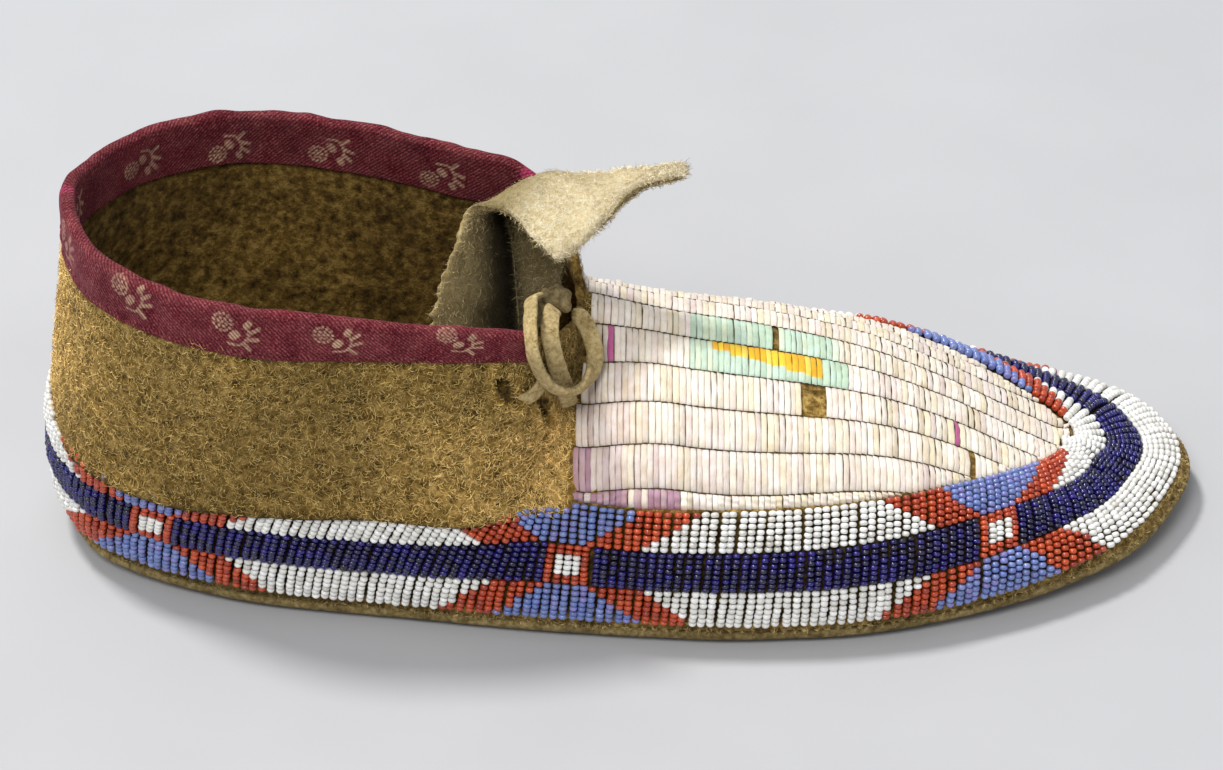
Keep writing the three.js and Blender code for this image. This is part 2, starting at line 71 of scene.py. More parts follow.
TONGUE_ROWS = [
    [(-42.5, -27, 69), (-28, -10, 56.5), (-20, -2, 56), (-13.5, 8, 56.5)],
    [(-40.5, -22, 76), (-28, -3, 65), (-21, 1, 63.5), (-13.5, 5, 63)],
    [(-37, -13, 83), (-28.5, 3, 74), (-22, 6, 73), (-14, 8, 71.5)],
    [(-34, -2, 87.5), (-29.5, 5, 81.5), (-24, 10, 80.5), (-17, 13, 80)],
    [(-26, -4, 89), (-23, 3, 88.5), (-19.5, 9, 87.5), (-15.5, 14, 86)],
    [(-20, -10, 85.5), (-15, -2, 87), (-11, 6, 87), (-8, 14, 86.3)],
    [(-13.5, -14, 82.5), (-8, -6, 85.5), (-4, 3, 87), (-1, 12.5, 88)],
    [(-6, -6.5, 84), (-2, 0, 86.5), (1, 5, 88), (4.4, 11.5, 89.5)],
    [(3, 3, 89), (4.5, 5, 89.5), (6, 7.5, 89.8), (8.5, 10, 90.5)],
    [(13.5, 6.5, 90.8), (14, 8, 91), (14, 9, 91.2), (13.5, 10, 91.4)],
]
LACE_LOOP = [
    (-18.2, -17.4, 74.6), (-19.6, -22, 76.6), (-19.7, -28, 78), (-19.7, -33.6, 76.8),
    (-18.9, -37.5, 72.2), (-16.4, -36.6, 65.2), (-12.8, -34, 60.4), (-9, -27.4, 56.8),
    (-6.2, -19.8, 56.2), (-5.8, -15.8, 58.8), (-7.8, -14.2, 64.6), (-10.6, -13.6, 68.4),
]
LACE_TAIL = [
    (-14.8, -18.9, 72.4), (-15.4, -25, 74.3), (-15.5, -29.6, 72.8), (-14.6, -31.2, 68),
    (-13.3, -29.3, 61.4), (-12.2, -26.8, 55.3), (-11.4, -24.4, 49.4),
]
SOLE_THICKNESS, GAP, LEATHER = 3.5, 0.3, 2.0
THROAT_X, TOE_FAN_X, ANKLE = -8.0, 72.0, 0.5
LANE_WIDTH, BARE_MARGIN = 9.2, 2.5
BEAD_EDGE = BARE_MARGIN + 3 * LANE_WIDTH
CUFF_STATION = 14 / 18 * ANKLE
MOTIFS = [0.135, 0.445, 0.765, 1.235, 1.555, 1.865]
MOTIF_HALF = 0.078


def spline(points, count, closed=False):
    p = np.asarray(points, float)
    spans = len(p) if closed else len(p) - 1
    t = np.linspace(0, spans, count + 1)[:count] if closed else np.linspace(0, spans, count)
    i = np.minimum(np.floor(t).astype(int), spans - 1)
    w = (t - i)[:, None]
    if closed:
        a, b, c, d = (p[(i + k) % len(p)] for k in (-1, 0, 1, 2))
    else:
        wide = np.vstack([2 * p[0] - p[1], p, 2 * p[-1] - p[-2]])
        a, b, c, d = (wide[i + k] for k in (0, 1, 2, 3))
    v0, v1 = (c - a) / 2, (d - b) / 2
    return (2 * b - 2 * c + v0 + v1) * w**3 + (3 * c - 3 * b - 2 * v0 - v1) * w**2 + v0 * w + b


def run(curve):
    steps = np.linalg.norm(np.diff(curve, axis=0), axis=1)
    return np.concatenate([[0.0], np.cumsum(steps)])


def respaced(curve, count=801):
    length = run(curve)
    at = np.linspace(0, length[-1], count)
    return np.stack([np.interp(at, length, curve[:, k]) for k in range(curve.shape[1])], -1)


def along(curve, share):
    k = np.clip(share, 0, 1) * (len(curve) - 1)
    i = np.minimum(np.floor(k).astype(int), len(curve) - 2)
    w = (k - i)[..., None]
    return curve[i] * (1 - w) + curve[i + 1] * w


def smooth(t):
    t = np.clip(t, 0, 1)
    return t * t * (3 - 2 * t)


def rocker(x):
    toe = 5.0 * np.clip((x - 30) / 102, 0, None)**2
    return toe + 2.6 * np.clip((-70 - x) / 60, 0, None)**2


def halves(points):
    curve = spline(points, 4000, True)
    k = int(np.argmax(curve[:, 0]))
    back = np.vstack([curve[k:], curve[:1]])[::-1]
    return {OUTER: respaced(curve[:k + 1]), INNER: respaced(back)}


SOLE_HALF, RIM_HALF = halves(SOLE_EDGE), halves(OPENING_EDGE)
RIDGE_LINE = respaced(spline(RIDGE, 2000))
THROAT = {s: np.interp(THROAT_X, SOLE_HALF[s][60:, 0], np.linspace(0, 1, 801)[60:])
          for s in (OUTER, INNER)}


def share_at(h, s):
    """Share of the sole's edge, heel to toe, at station h of one side."""
    return np.where(h < ANKLE, h / ANKLE * THROAT[s],
                    THROAT[s] + (h - ANKLE) / (1 - ANKLE) * (1 - THROAT[s]))


def station_of(share, s):
    return np.where(share < THROAT[s], share / THROAT[s] * ANKLE,
                    ANKLE + (share - THROAT[s]) / (1 - THROAT[s]) * (1 - ANKLE))


def edge(h, s):
    return along(SOLE_HALF[s], share_at(h, s))


def outward(h, s):
    a = along(SOLE_HALF[s], np.clip(share_at(h, s) - 3e-3, 0, 1))
    b = along(SOLE_HALF[s], np.clip(share_at(h, s) + 3e-3, 0, 1))
    d = b - a
    n = np.stack([d[..., 1], -d[..., 0]], -1) * -s
    n /= np.linalg.norm(n, axis=-1, keepdims=True)
    n = np.where((h <= 0.0)[..., None], np.array([-1.0, 0.0]), n)
    return np.where((h >= 1.0)[..., None], np.array([1.0, 0.0]), n)


def ridge_at(h):
    x = (edge(h, OUTER)[..., 0] + edge(h, INNER)[..., 0]) / 2
    tip, end = SOLE_HALF[OUTER][-1, 0], RIDGE_LINE[-1, 0]
    t = np.clip((x - TOE_FAN_X) / (tip - TOE_FAN_X), 0, 1)
    power = (tip - TOE_FAN_X) / (end - TOE_FAN_X)
    fan = TOE_FAN_X + (end - TOE_FAN_X) * (1 - (1 - t)**power)
    xs = np.clip(np.where(x > TOE_FAN_X, fan, x), RIDGE_LINE[0, 0], end)
    y, z = (np.interp(xs, RIDGE_LINE[:, 0], RIDGE_LINE[:, k]) for k in (1, 2))
    ahead, behind = (np.interp(xs + k, RIDGE_LINE[:, 0], RIDGE_LINE[:, 2]) for k in (0.5, -0.5))
    slope = np.where(xs > end - 1, -0.53, ahead - behind)
    return np.stack([xs, y, z], -1), slope


def meridian(h, s, v):
    """Points on the leather's outer face: station h of side s, v from the sole to the top."""
    v = v[..., None]
    foot, n = edge(h, s), outward(h, s)
    out = np.concatenate([n, np.zeros(n.shape[:-1] + (1,))], -1)
    floor = (rocker(foot[..., 0]) + SOLE_THICKNESS + GAP)[..., None]
    base = np.concatenate([foot - n * 0.6, floor], -1)
    ridge, slope = ridge_at(h)
    rim = along(RIM_HALF[s], np.clip(h / ANKLE, 0, 1))
    top = np.where((h < ANKLE)[..., None], rim, ridge)
    rise = (top[..., 2] - base[..., 2])[..., None]
    arch = smooth((h - (0.42 if s == OUTER else 0.36)) / 0.14)[..., None]
    toe = smooth((h - 0.70) / 0.30)[..., None]
    heel = 1 - smooth(h / 0.16)[..., None]
    bulge = 2.6 * (1 - toe) + 3.5 * heel - 2.2 * toe
    instep, reach = (0.66, 0.55) if s == OUTER else (0.60, 0.45)
    lift = (0.42 - 0.20 * heel) * (1 - arch) + arch * (instep * (1 - toe) + 0.40 * toe)
    low = base + UP * rise * lift + out * bulge
    wall = out * (3.2 - 1.2 * heel) - UP * rise * 0.42
    flat = (base - top) * np.array([1, 1, 0]) * (reach * (1 - toe) + 0.50 * toe)
    over = flat + UP * (slope * flat[..., 0])[..., None]
    high = top + wall * (1 - arch) + over * arch
    return (1 - v)**3 * base + 3 * (1 - v)**2 * v * low + 3 * (1 - v) * v * v * high + v**3 * top


STATIONS, ARCS = 1201, 201
SKIN, FACING, HEIGHT = {}, {}, {}


def tabulate():
    h = np.linspace(0, 1, STATIONS)
    for s in (OUTER, INNER):
        hh, vv = np.meshgrid(h, np.linspace(0, 1, 121), indexing="ij")
        raw = meridian(hh, s, vv)
        steps = np.linalg.norm(np.diff(raw, axis=1), axis=2)
        length = np.concatenate([np.zeros((STATIONS, 1)), np.cumsum(steps, 1)], 1)
        even = np.empty((STATIONS, ARCS, 3))
        for i in range(STATIONS):
            at = np.linspace(0, length[i, -1], ARCS)
            for k in range(3):
                even[i, :, k] = np.interp(at, length[i], raw[i, :, k])
        du = np.gradient(even, axis=0)
        dv = np.gradient(even, axis=1)
        n = np.cross(du, dv) * -s
        n /= np.maximum(np.linalg.norm(n, axis=2, keepdims=True), 1e-9)
        for j in range(ARCS - 3, ARCS):
            faint = np.linalg.norm(n[:, j], axis=1) < 0.5
            n[faint, j] = n[faint, j - 1]
        SKIN[s], FACING[s], HEIGHT[s] = even, n, length[:, -1]
    for end in (0, -1):
        both = FACING[OUTER][end] + FACING[INNER][end]
        both[:, 1] = 0
        both /= np.maximum(np.linalg.norm(both, axis=1, keepdims=True), 1e-9)
        FACING[OUTER][end] = FACING[INNER][end] = both


tabulate()


def look(table, a, b):
    """Bilinear reading of a table at fractional places a, b, both from 0 to 1."""
    a = np.clip(a, 0, 1) * (table.shape[0] - 1)
    b = np.clip(b, 0, 1) * (table.shape[1] - 1)
    i = np.minimum(a.astype(int), table.shape[0] - 2)
    j = np.minimum(b.astype(int), table.shape[1] - 2)
    u, w = (a - i)[..., None], (b - j)[..., None]
    return ((table[i, j] * (1 - u) + table[i + 1, j] * u) * (1 - w)
            + (table[i, j + 1] * (1 - u) + table[i + 1, j + 1] * u) * w)


def height(h, s):
    return np.interp(h, np.linspace(0, 1, STATIONS), HEIGHT[s])


def skin(h, s, arc, above=0.0):
    """(place, outward normal) on one side, arc millimetres up from the sole."""
    share = arc / height(h, s)
    n = look(FACING[s], h, share)
    n = n / np.linalg.norm(n, axis=-1, keepdims=True)
    return look(SKIN[s], h, share) + n * np.asarray(above)[..., None], n


def ring_skin(ring, arc, above=0.0):
    """The same at a place round the shoe: 0 heel, 1 toe, 2 heel again, along the sole's edge."""
    ring = np.mod(np.asarray(ring, float), 2)
    arc = np.broadcast_to(arc, ring.shape)
    above = np.broadcast_to(above, ring.shape)
    place, facing = np.empty(ring.shape + (3,)), np.empty(ring.shape + (3,))
    for s, here in ((OUTER, ring <= 1), (INNER, ring > 1)):
        share = np.where(ring[here] <= 1, ring[here], 2 - ring[here])
        place[here], facing[here] = skin(station_of(share, s), s, arc[here], above[here])
    return place, facing


# The frame's shift, from the CAD sole's box.
SOLE_LOW, SOLE_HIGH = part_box("rawhide_sole")
SHIFT = np.array([
    SOLE_HIGH[0] - (SOLE_HALF[OUTER][-1, 0] - 0.2) * MM,
    (SOLE_LOW[1] + SOLE_HIGH[1]) / 2
    - (SOLE_HALF[OUTER][:, 1].min() + SOLE_HALF[INNER][:, 1].max()) / 2 * MM,
    0.0,
])


def framed(points):
    return np.asarray(points, float) * MM + SHIFT


# ---- Camera ----
ELEVATION, DISTANCE = math.radians(36), 1.0
FOCAL_LENGTH, PHOTO_WIDTH = 4350, 1223  # both in pixels
SENSOR = 36
target = framed((-2.0, 0, 37.58))
camera = bpy.data.objects.new("camera", bpy.data.cameras.new("camera"))
bpy.context.scene.collection.objects.link(camera)
camera.data.sensor_width = SENSOR
camera.data.lens = FOCAL_LENGTH / PHOTO_WIDTH * SENSOR
camera.data.clip_start = 0.05
camera.location = target + DISTANCE * np.array([0, -math.cos(ELEVATION), math.sin(ELEVATION)])
camera.rotation_euler = (math.pi / 2 - ELEVATION, 0, 0)
bpy.context.scene.camera = camera


# ---- Making meshes ----
LATTICE = np.random.RandomState(7).rand(8, 32, 32, 32) * 2 - 1


def noise(points, size, seed=0):
    """Smooth noise from -1 to 1 at points in millimetres, with lumps of about that size."""
    p = np.asarray(points) / np.asarray(size, float) + 100.37 * (seed + 1)
    i = np.floor(p).astype(int)
    f = p - i
    f = f * f * (3 - 2 * f)
    field = LATTICE[seed % 8]
    total = 0.0
    for corner in range(8):
        k = [(corner >> axis) & 1 for axis in range(3)]
        at = [(i[..., axis] + k[axis]) % 32 for axis in range(3)]
        weight = 1.0
        for axis in range(3):
            weight = weight * (f[..., axis] if k[axis] else 1 - f[..., axis])
        total = total + weight * field[at[0], at[1], at[2]]
    return total


def linear(rgb):
    c = np.asarray(rgb, float) / 255
    return np.where(c <= 0.04045, c / 12.92, ((c + 0.055) / 1.055)**2.4)


def grid_faces(rows, columns, closed=False, flip=False, start=0):
    i = np.arange(rows if closed else rows - 1)[:, None]
    j = np.arange(columns - 1)[None]
    a = (i * columns + j).ravel()
    b = (((i + 1) % rows) * columns + j).ravel()
    quads = np.stack([a, b, b + 1, a + 1], -1) + start
    return quads[:, ::-1] if flip else quads


def tube_faces(rings, around, flip=False):
    """Faces between rings of points, each closed on itself."""
    i = np.arange(rings - 1)[:, None] * around
    j = np.arange(around)[None]
    k = (j + 1) % around
    quads = np.stack([i + j, i + k, i + around + k, i + around + j], -1).reshape(-1, 4)
    return quads[:, [0, 3, 2, 1]] if flip else quads


def rim_faces(rows, columns, flip=False):
    """Faces that close a sheet's edge, between its front and a back numbered after it."""
    loop = ([(i, 0) for i in range(rows)] + [(rows - 1, j) for j in range(1, columns)]
            + [(i, columns - 1) for i in range(rows - 2, -1, -1)]
            + [(0, j) for j in range(columns - 2, 0, -1)])
    count = rows * columns
    rim = []
    for (i, j), (k, l) in zip(loop, loop[1:] + loop[:1]):
        a, b = i * columns + j, k * columns + l
        rim.append([a, b, b + count, a + count] if flip else [b, a, a + count, b + count])
    return rim


def piece(name, points, faces, material, body="root", tint=None, uv=None):
    """One object, from points in millimetres of the drawing."""
    mesh = bpy.data.meshes.new(name)
    mesh.from_pydata(framed(np.reshape(points, (-1, 3))).tolist(), [], list(map(list, faces)))
    mesh.polygons.foreach_set("use_smooth", [True] * len(mesh.polygons))
    if tint is not None:
        layer = mesh.color_attributes.new("tint", "FLOAT_COLOR", "POINT")
        rgba = np.ones((len(mesh.vertices), 4))
        rgba[:, :3] = np.reshape(tint, (-1, 3))
        layer.data.foreach_set("color", rgba.ravel())
    if uv is not None:
        corner = np.empty(len(mesh.loops), int)
        mesh.loops.foreach_get("vertex_index", corner)
        layer = mesh.uv_layers.new(name="cloth")
        layer.data.foreach_set("uv", np.reshape(uv, (-1, 2))[corner].ravel())
    mesh.update()
    obj = bpy.data.objects.new(name, mesh)
    bpy.context.scene.collection.objects.link(obj)
    obj.data.materials.append(material)
    if body:
        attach(obj, body)
    return obj


# ---- Materials ----
class Surface:
    """A Principled material with short ways to add the nodes that vary it."""

    def __init__(self, name, **values):
        self.material = bpy.data.materials.new(name)
        self.material.use_nodes = True
        self.tree = self.material.node_tree
        self.shader = self.tree.nodes["Principled BSDF"]
        for socket, value in values.items():
            self.shader.inputs[socket.replace("_", " ")].default_value = value
        self.place = self.node("ShaderNodeTexCoord").outputs["Object"]

    def node(self, kind, **settings):
        made = self.tree.nodes.new(kind)
        for key, value in settings.items():
            setattr(made, key, value)
        return made

    def link(self, source, target):
        self.tree.links.new(source, target)

    def stretched(self, size, source=None):
        made = self.node("ShaderNodeMapping")
        made.inputs["Scale"].default_value = size
        self.link(source or self.place, made.inputs["Vector"])
        return made.outputs["Vector"]

    def noise(self, size, detail=3.0, vector=None, rough=0.55):
        made = self.node("ShaderNodeTexNoise")
        made.inputs["Scale"].default_value = 1 / (size * MM)
        made.inputs["Detail"].default_value = detail
        made.inputs["Roughness"].default_value = rough
        self.link(vector or self.place, made.inputs["Vector"])
        return made.outputs["Fac"]

    def ramp(self, value, *stops):
        made = self.node("ShaderNodeValToRGB")
        band = made.color_ramp
        while len(band.elements) < len(stops):
            band.elements.new(0.5)
        for element, (at, colour) in zip(band.elements, stops):
            element.position = at
            element.color = (*linear(colour), 1) if len(np.shape(colour)) else (colour,) * 3 + (1,)
        self.link(value, made.inputs["Fac"])
        return made.outputs["Color"]

    def mix(self, a, b, share, blend="MIX"):
        made = self.node("ShaderNodeMix", data_type="RGBA", blend_type=blend)
        for socket, value in (("A", a), ("B", b)):
            target = [k for k in made.inputs if k.name == socket and k.type == "RGBA"][0]
            if isinstance(value, tuple):
                target.default_value = (*linear(value), 1)
            else:
                self.link(value, target)
        if isinstance(share, float):
            made.inputs["Factor"].default_value = share
        else:
            self.link(share, made.inputs["Factor"])
        return [k for k in made.outputs if k.type == "RGBA"][0]

    def tint(self):
        made = self.node("ShaderNodeVertexColor")
        made.layer_name = "tint"
        return made.outputs["Color"]

    def colour(self, source):
        self.link(source, self.shader.inputs["Base Color"])

    def rough(self, source):
        self.link(source, self.shader.inputs["Roughness"])

    def bump(self, value, depth, normal=None):
        made = self.node("ShaderNodeBump")
        made.inputs["Strength"].default_value = 1
        made.inputs["Distance"].default_value = depth * MM
        self.link(value, made.inputs["Height"])
        if normal is not None:
            self.link(normal, made.inputs["Normal"])
        self.link(made.outputs["Normal"], self.shader.inputs["Normal"])
        return made.outputs["Normal"]


def suede(name, dark, middle, light, clump=2.2):
    s = Surface(name, Roughness=0.95, Specular_IOR_Level=0.08, Sheen_Weight=0.12, Sheen_Roughness=0.5,
                Sheen_Tint=(0.9, 0.75, 0.5, 1))
    broad = s.noise(14, 3)
    nap = s.noise(clump, 5, rough=0.7)
    base = s.ramp(nap, (0.34, dark), (0.5, middle), (0.64, light))
    patch = s.ramp(broad, (0.35, (170, 156, 128)), (0.65, (255, 250, 240)))
    s.colour(s.mix(s.mix(base, patch, 0.55, "MULTIPLY"), s.tint(), 1.0, "MULTIPLY"))
    s.bump(s.noise(0.5, 3), 0.35, s.bump(nap, 1.0))
    return s.material


def napped(points, normals, amount, size=1.0, seed=0):
    """Points pushed in and out along the normals in clumps, as brushed leather is."""
    clumps = noise(points, 5.0 * size, seed) * 0.5 + noise(points, 2.1 * size, seed + 1) * 0.6
    fine = noise(points, (1.3 * size, 1.3 * size, 0.7 * size), seed + 2) * 0.5
    return points + normals * (amount * (clumps + fine))[..., None]


def unit(v):
    return v / np.maximum(np.linalg.norm(v, axis=-1, keepdims=True), 1e-9)


def grid_normals(points, flip=1):
    return unit(np.cross(np.gradient(points, axis=0), np.gradient(points, axis=1))) * flip


def plain_tint(points, low=0.85, high=1.1, size=9, seed=5):
    level = low + (high - low) * (noise(points, size, seed) * 0.5 + 0.5)
    return np.repeat(level[..., None], 3, -1)


# ---- Lace: a flat strip of suede, 4.2 mm wide ----
lace_suede = suede("lace_suede", (176, 152, 100), (222, 198, 142), (240, 220, 170), 1.2)


def strip(name, route, width, thick, facing, steps, nodes, seed, ends=(1, 1)):
    """A flat strip carried along a route, its face turned towards facing."""
    line = respaced(spline(route, 400), steps)
    forward = unit(np.gradient(line, axis=0))
    if np.ndim(facing) == 2:
        facing = spline(facing, steps)
    across = unit(np.cross(forward, facing))
    over = unit(np.cross(across, forward))
    around = np.linspace(0, 2 * math.pi, 25)[:-1]
    side = np.sign(np.cos(around)) * np.abs(np.cos(around))**0.55
    lift = np.sign(np.sin(around)) * np.abs(np.sin(around))**0.75
    share = np.linspace(0, 1, steps)
    taper = np.minimum(1, np.minimum(share / 0.03 + (1 - ends[0]) * 0.3,
                                     (1 - share) / 0.03 + (1 - ends[1]) * 0.3))
    taper = np.sqrt(np.clip(taper, 0.02, 1))
    wide = width / 2 * taper * (1 + 0.07 * noise(line, 9, seed))
    points = (line[:, None] + across[:, None] * (side[None] * wide[:, None])[..., None]
              + over[:, None] * (lift[None] * thick / 2 * taper[:, None])[..., None])
    out = unit(points - line[:, None])
    points = napped(points, out, 0.16, 0.7, seed)
    count = len(around)
    quads = tube_faces(steps, count)
    caps = [list(range(count))[::-1], list(range((steps - 1) * count, steps * count))]
    tint = plain_tint(points, 0.8, 1.1, 4, 3)
    # Painted shade: the strip's back face, turned away from facing, is darkened to 0.6.
    tint = tint * np.where(lift[None, :, None] < -0.2, 0.6, 1.0)
    obj = piece(name, points, list(quads) + caps, lace_suede, tint=tint)
    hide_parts(*nodes)
    return obj, run(line)[-1] * MM, line


# Which way the loop's outer face looks: out from its middle, and twisting from the viewer to the shoe.
LOOP_FACES = [(-0.5, -0.6, 0.9), (-0.8, -0.9, 0.9), (-1.0, -0.9, 0.4), (-0.9, -1.0, -0.1),
              (-0.4, -1.0, -0.4), (0.3, -1.0, -0.3), (0.4, -1.0, 0.2), (0.3, -1.0, 0.5), (0.1, -0.9, 0.7)]
FRONT = np.array([0.1, -0.81, 0.59])
lace_loop, loop_length, loop_line = strip(
    "lace_loop_strip", LACE_LOOP, 4.2, 1.6, LOOP_FACES, 110, ["lace_loop"], 1)
lace_tail, tail_length, tail_line = strip(
    "lace_tail_strip", LACE_TAIL, 4.0, 1.4, FRONT, 60, ["lace_tail"], 2)


def lump(name, centre, size, material, seed, nodes):
    """A pinched lump, as a knot in the strip is: crossing turns with a crease between."""
    rings, around = 22, 32
    theta = np.linspace(0, math.pi, rings)[:, None]
    phi = np.linspace(0, 2 * math.pi, around + 1)[None, :-1]
    ball = np.stack([np.sin(theta) * np.cos(phi), np.sin(theta) * np.sin(phi),
                     np.cos(theta) * np.ones_like(phi)], -1)
    crease = 1 - 0.34 * np.exp(-((ball[..., 0] * 0.8 + ball[..., 2] * 0.5) / 0.16)**2)
    crease = crease + 0.11 * np.sin(5 * phi + 3 * theta) + 0.08 * np.sin(3 * phi - 5 * theta)
    points = np.asarray(centre) + ball * np.asarray(size) * crease[..., None]
    points = napped(points, ball, 0.18, 0.6, seed)
    # Painted shade: the lump is tinted 0.16 to 0.42, far darker than the lace, as the knot sits in shadow.
    obj = piece(name, points, tube_faces(rings, around, flip=True), material,
                tint=plain_tint(points, 0.16, 0.42, 3, 2))
    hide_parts(*nodes)
    return obj


knot = lump("lace_knot_lump", (-14.6, -15.6, 72.0), (3.9, 3.6, 3.3), lace_suede, 4, ["lace_knot"])

# ---- The leather upper ----
smoked = suede("smoked_suede", (64, 46, 12), (138, 110, 52), (196, 166, 98))
INSIDE_TINT = np.array([0.75, 0.72, 0.62])
PANEL_STATION, PANEL_BLEND = 0.484, 0.012  # where the quilled panel begins
NAP_FIBRES, MARGIN_FIBRES = 24000, 5000
GATHERS = np.array([-19.5, -34.0, 60.0])


def flap_edge(h):
    """Arc where the ankle's leather hangs over the top rows of beads."""
    low = np.exp(-((h - 0.15) / 0.085)**2)
    near_panel = smooth((h - 0.30) / 0.1) * (1 - smooth((h - PANEL_STATION) / PANEL_BLEND))
    back = smooth((0.40 - h) / 0.2) * smooth(h / 0.05)
    return BEAD_EDGE - 0.4 - 1.9 * near_panel - 2.6 * low - back


def flap_depth(h):
    """How far it stands out over them: all round the ankle, and none on the instep."""
    thick = 2.9 - 0.7 * smooth((h - 0.36) / 0.08)
    return thick * (1 - smooth((h - PANEL_STATION) / PANEL_BLEND)) * smooth((h - 0.01) / 0.07) + 0.25


# Each slit's middle, the way it runs, and half its length and width.
SLITS = [
    ((-25.4, -36.6, 63.2), (-0.35, -0.1, 0.93), 3.6, 1.7),
    ((-16.9, -30.3, 53.0), (-0.2, -0.3, 0.93), 4.6, 1.6),
]


def slit_field(points):
    """Depth, 0 to 1, of the lace slits at points on the outer flap, and their frayed rim."""
    deep, rim = np.zeros(points.shape[:-1]), np.zeros(points.shape[:-1])
    for centre, line, long, wide in SLITS:
        gap = points - np.asarray(centre)
        axis = np.asarray(line) / np.linalg.norm(line)
        lengthwise = gap @ axis
        sideways = np.linalg.norm(gap - lengthwise[..., None] * axis, axis=-1)
        reach = np.sqrt((lengthwise / long)**2 + (sideways / wide)**2)
        deep = np.maximum(deep, 1 - smooth((reach - 0.6) / 0.55))
        rim = np.maximum(rim, np.exp(-((reach - 1.6) / 0.6)**2))
    return deep, rim


def fibre_material(name, sheen, dark, light):
    s = Surface(name, Roughness=0.9, Specular_IOR_Level=0.1, Sheen_Weight=0.1, Sheen_Roughness=0.5,
                Sheen_Tint=sheen)
    s.colour(s.mix(s.ramp(s.noise(1.5, 2), (0.3, dark), (0.7, light)), s.tint(), 1.0, "MULTIPLY"))
    return s.material


fibre_suede = fibre_material("suede_fibre", (0.9, 0.75, 0.5, 1), (166, 136, 72), (222, 192, 122))
pale_fibre = fibre_material("pale_fibre", (0.9, 0.8, 0.6, 1), (222, 206, 164), (250, 240, 212))
FIBRE_STEPS = 5


def fibres(name, points, normals, weight, tint, count, reach, seed, width=0.14, body="root",
           lift=0.45):
    """Loose curling fibres of the leather's nap, as thin tapering ribbons on a surface."""
    random = np.random.RandomState(seed)
    flat, facing, colour = points.reshape(-1, 3), normals.reshape(-1, 3), tint.reshape(-1, 3)
    chance = np.clip(weight, 0, None).ravel()
    at = random.choice(len(flat), count, p=chance / chance.sum())
    start, n = flat[at], unit(facing[at])
    spin = random.normal(0, 1, (count, 3))
    run_way = unit(spin - n * (spin * n).sum(1)[:, None])
    side_way = np.cross(n, run_way)
    start = start + run_way * random.normal(0, 0.25, (count, 1))
    start = start + side_way * random.normal(0, 0.25, (count, 1))
    long = random.uniform(*reach, (count, 1))
    curl = random.normal(0, 0.45, (count, 1))
    high = np.abs(random.normal(lift, 0.25, (count, 1)))
    t = np.linspace(0, 1, FIBRE_STEPS)
    line = [start + run_way * long * (k - 0.12 * k * k) + side_way * long * curl * k * k
            + n * (high * math.sin(math.pi * min(1, 0.15 + 0.8 * k)) - 0.1 * long * k) for k in t]
    wide = width / 2 * random.uniform(0.7, 1.3, (count, 1))
    rows = []
    for k, place in zip(t, line):
        half = side_way * wide * (1 - 0.75 * k) + n * wide * 0.3
        rows += [place - half, place + half]
    made = np.stack(rows, 1)
    j = np.arange(FIBRE_STEPS - 1)
    one = np.stack([2 * j, 2 * j + 1, 2 * j + 3, 2 * j + 2], -1)
    quads = (np.arange(count)[:, None, None] * 2 * FIBRE_STEPS + one[None]).reshape(-1, 4)
    shade = colour[at] * random.uniform(0.4, 1.45, (count, 1))
    nap = pale_fibre if "tongue" in name else fibre_suede
    obj = piece(name, made, quads, nap, body=body, tint=np.repeat(shade[:, None], 2 * FIBRE_STEPS, 1))
    return obj


def stations_for_leather():
    dense = np.linspace(0, 0.54, 300)
    return np.concatenate([dense, np.linspace(0.54, 1, 64)[1:]])


def cuff_depth(h, side):
    """How far the binding reaches down outside; the outer one narrows towards the throat."""
    share = h / CUFF_STATION
    narrower = 3.0 * smooth((share - 0.52) / 0.3) + 2.0 * smooth((share - 0.8) / 0.2)
    return 10 - narrower * (side == OUTER)


def leather_tint(points, h, arc, top, deep, rim):
    """Paler heel and paler wall from mid-shoe forward, below the top 12 mm: painted light, leaving the rest
    darker as painted shade; dark slits of painted shade, with paler frayed rims.
    """
    # Painted light: the heel, and the lower wall from h 0.24 on, are made paler.
    pale = np.exp(-(h / 0.085)**2) * 0.62 + 0.55 * smooth((h - 0.24) / 0.16) * smooth((top - arc - 12) / 14)
    pale = pale + 0.12 * np.exp(-((top - arc - 14) / 9)**2) * (h < 0.2)
    level = 0.82 + pale + 0.14 * noise(points, 17, 1) + 0.10 * noise(points, 5, 2)
    level = level - 0.45 * np.exp(-((h - 0.045) / 0.022)**2 - ((arc - 21) / 5.5)**2)
    warm = np.stack([level, level * 0.985, level * (0.95 + 0.12 * pale)], -1)
    # Painted shade: the slits are darkened almost to black.
    warm = warm * (1 - 0.97 * deep)[..., None] * (1 + 0.35 * rim * (1 - deep))[..., None]
    return warm


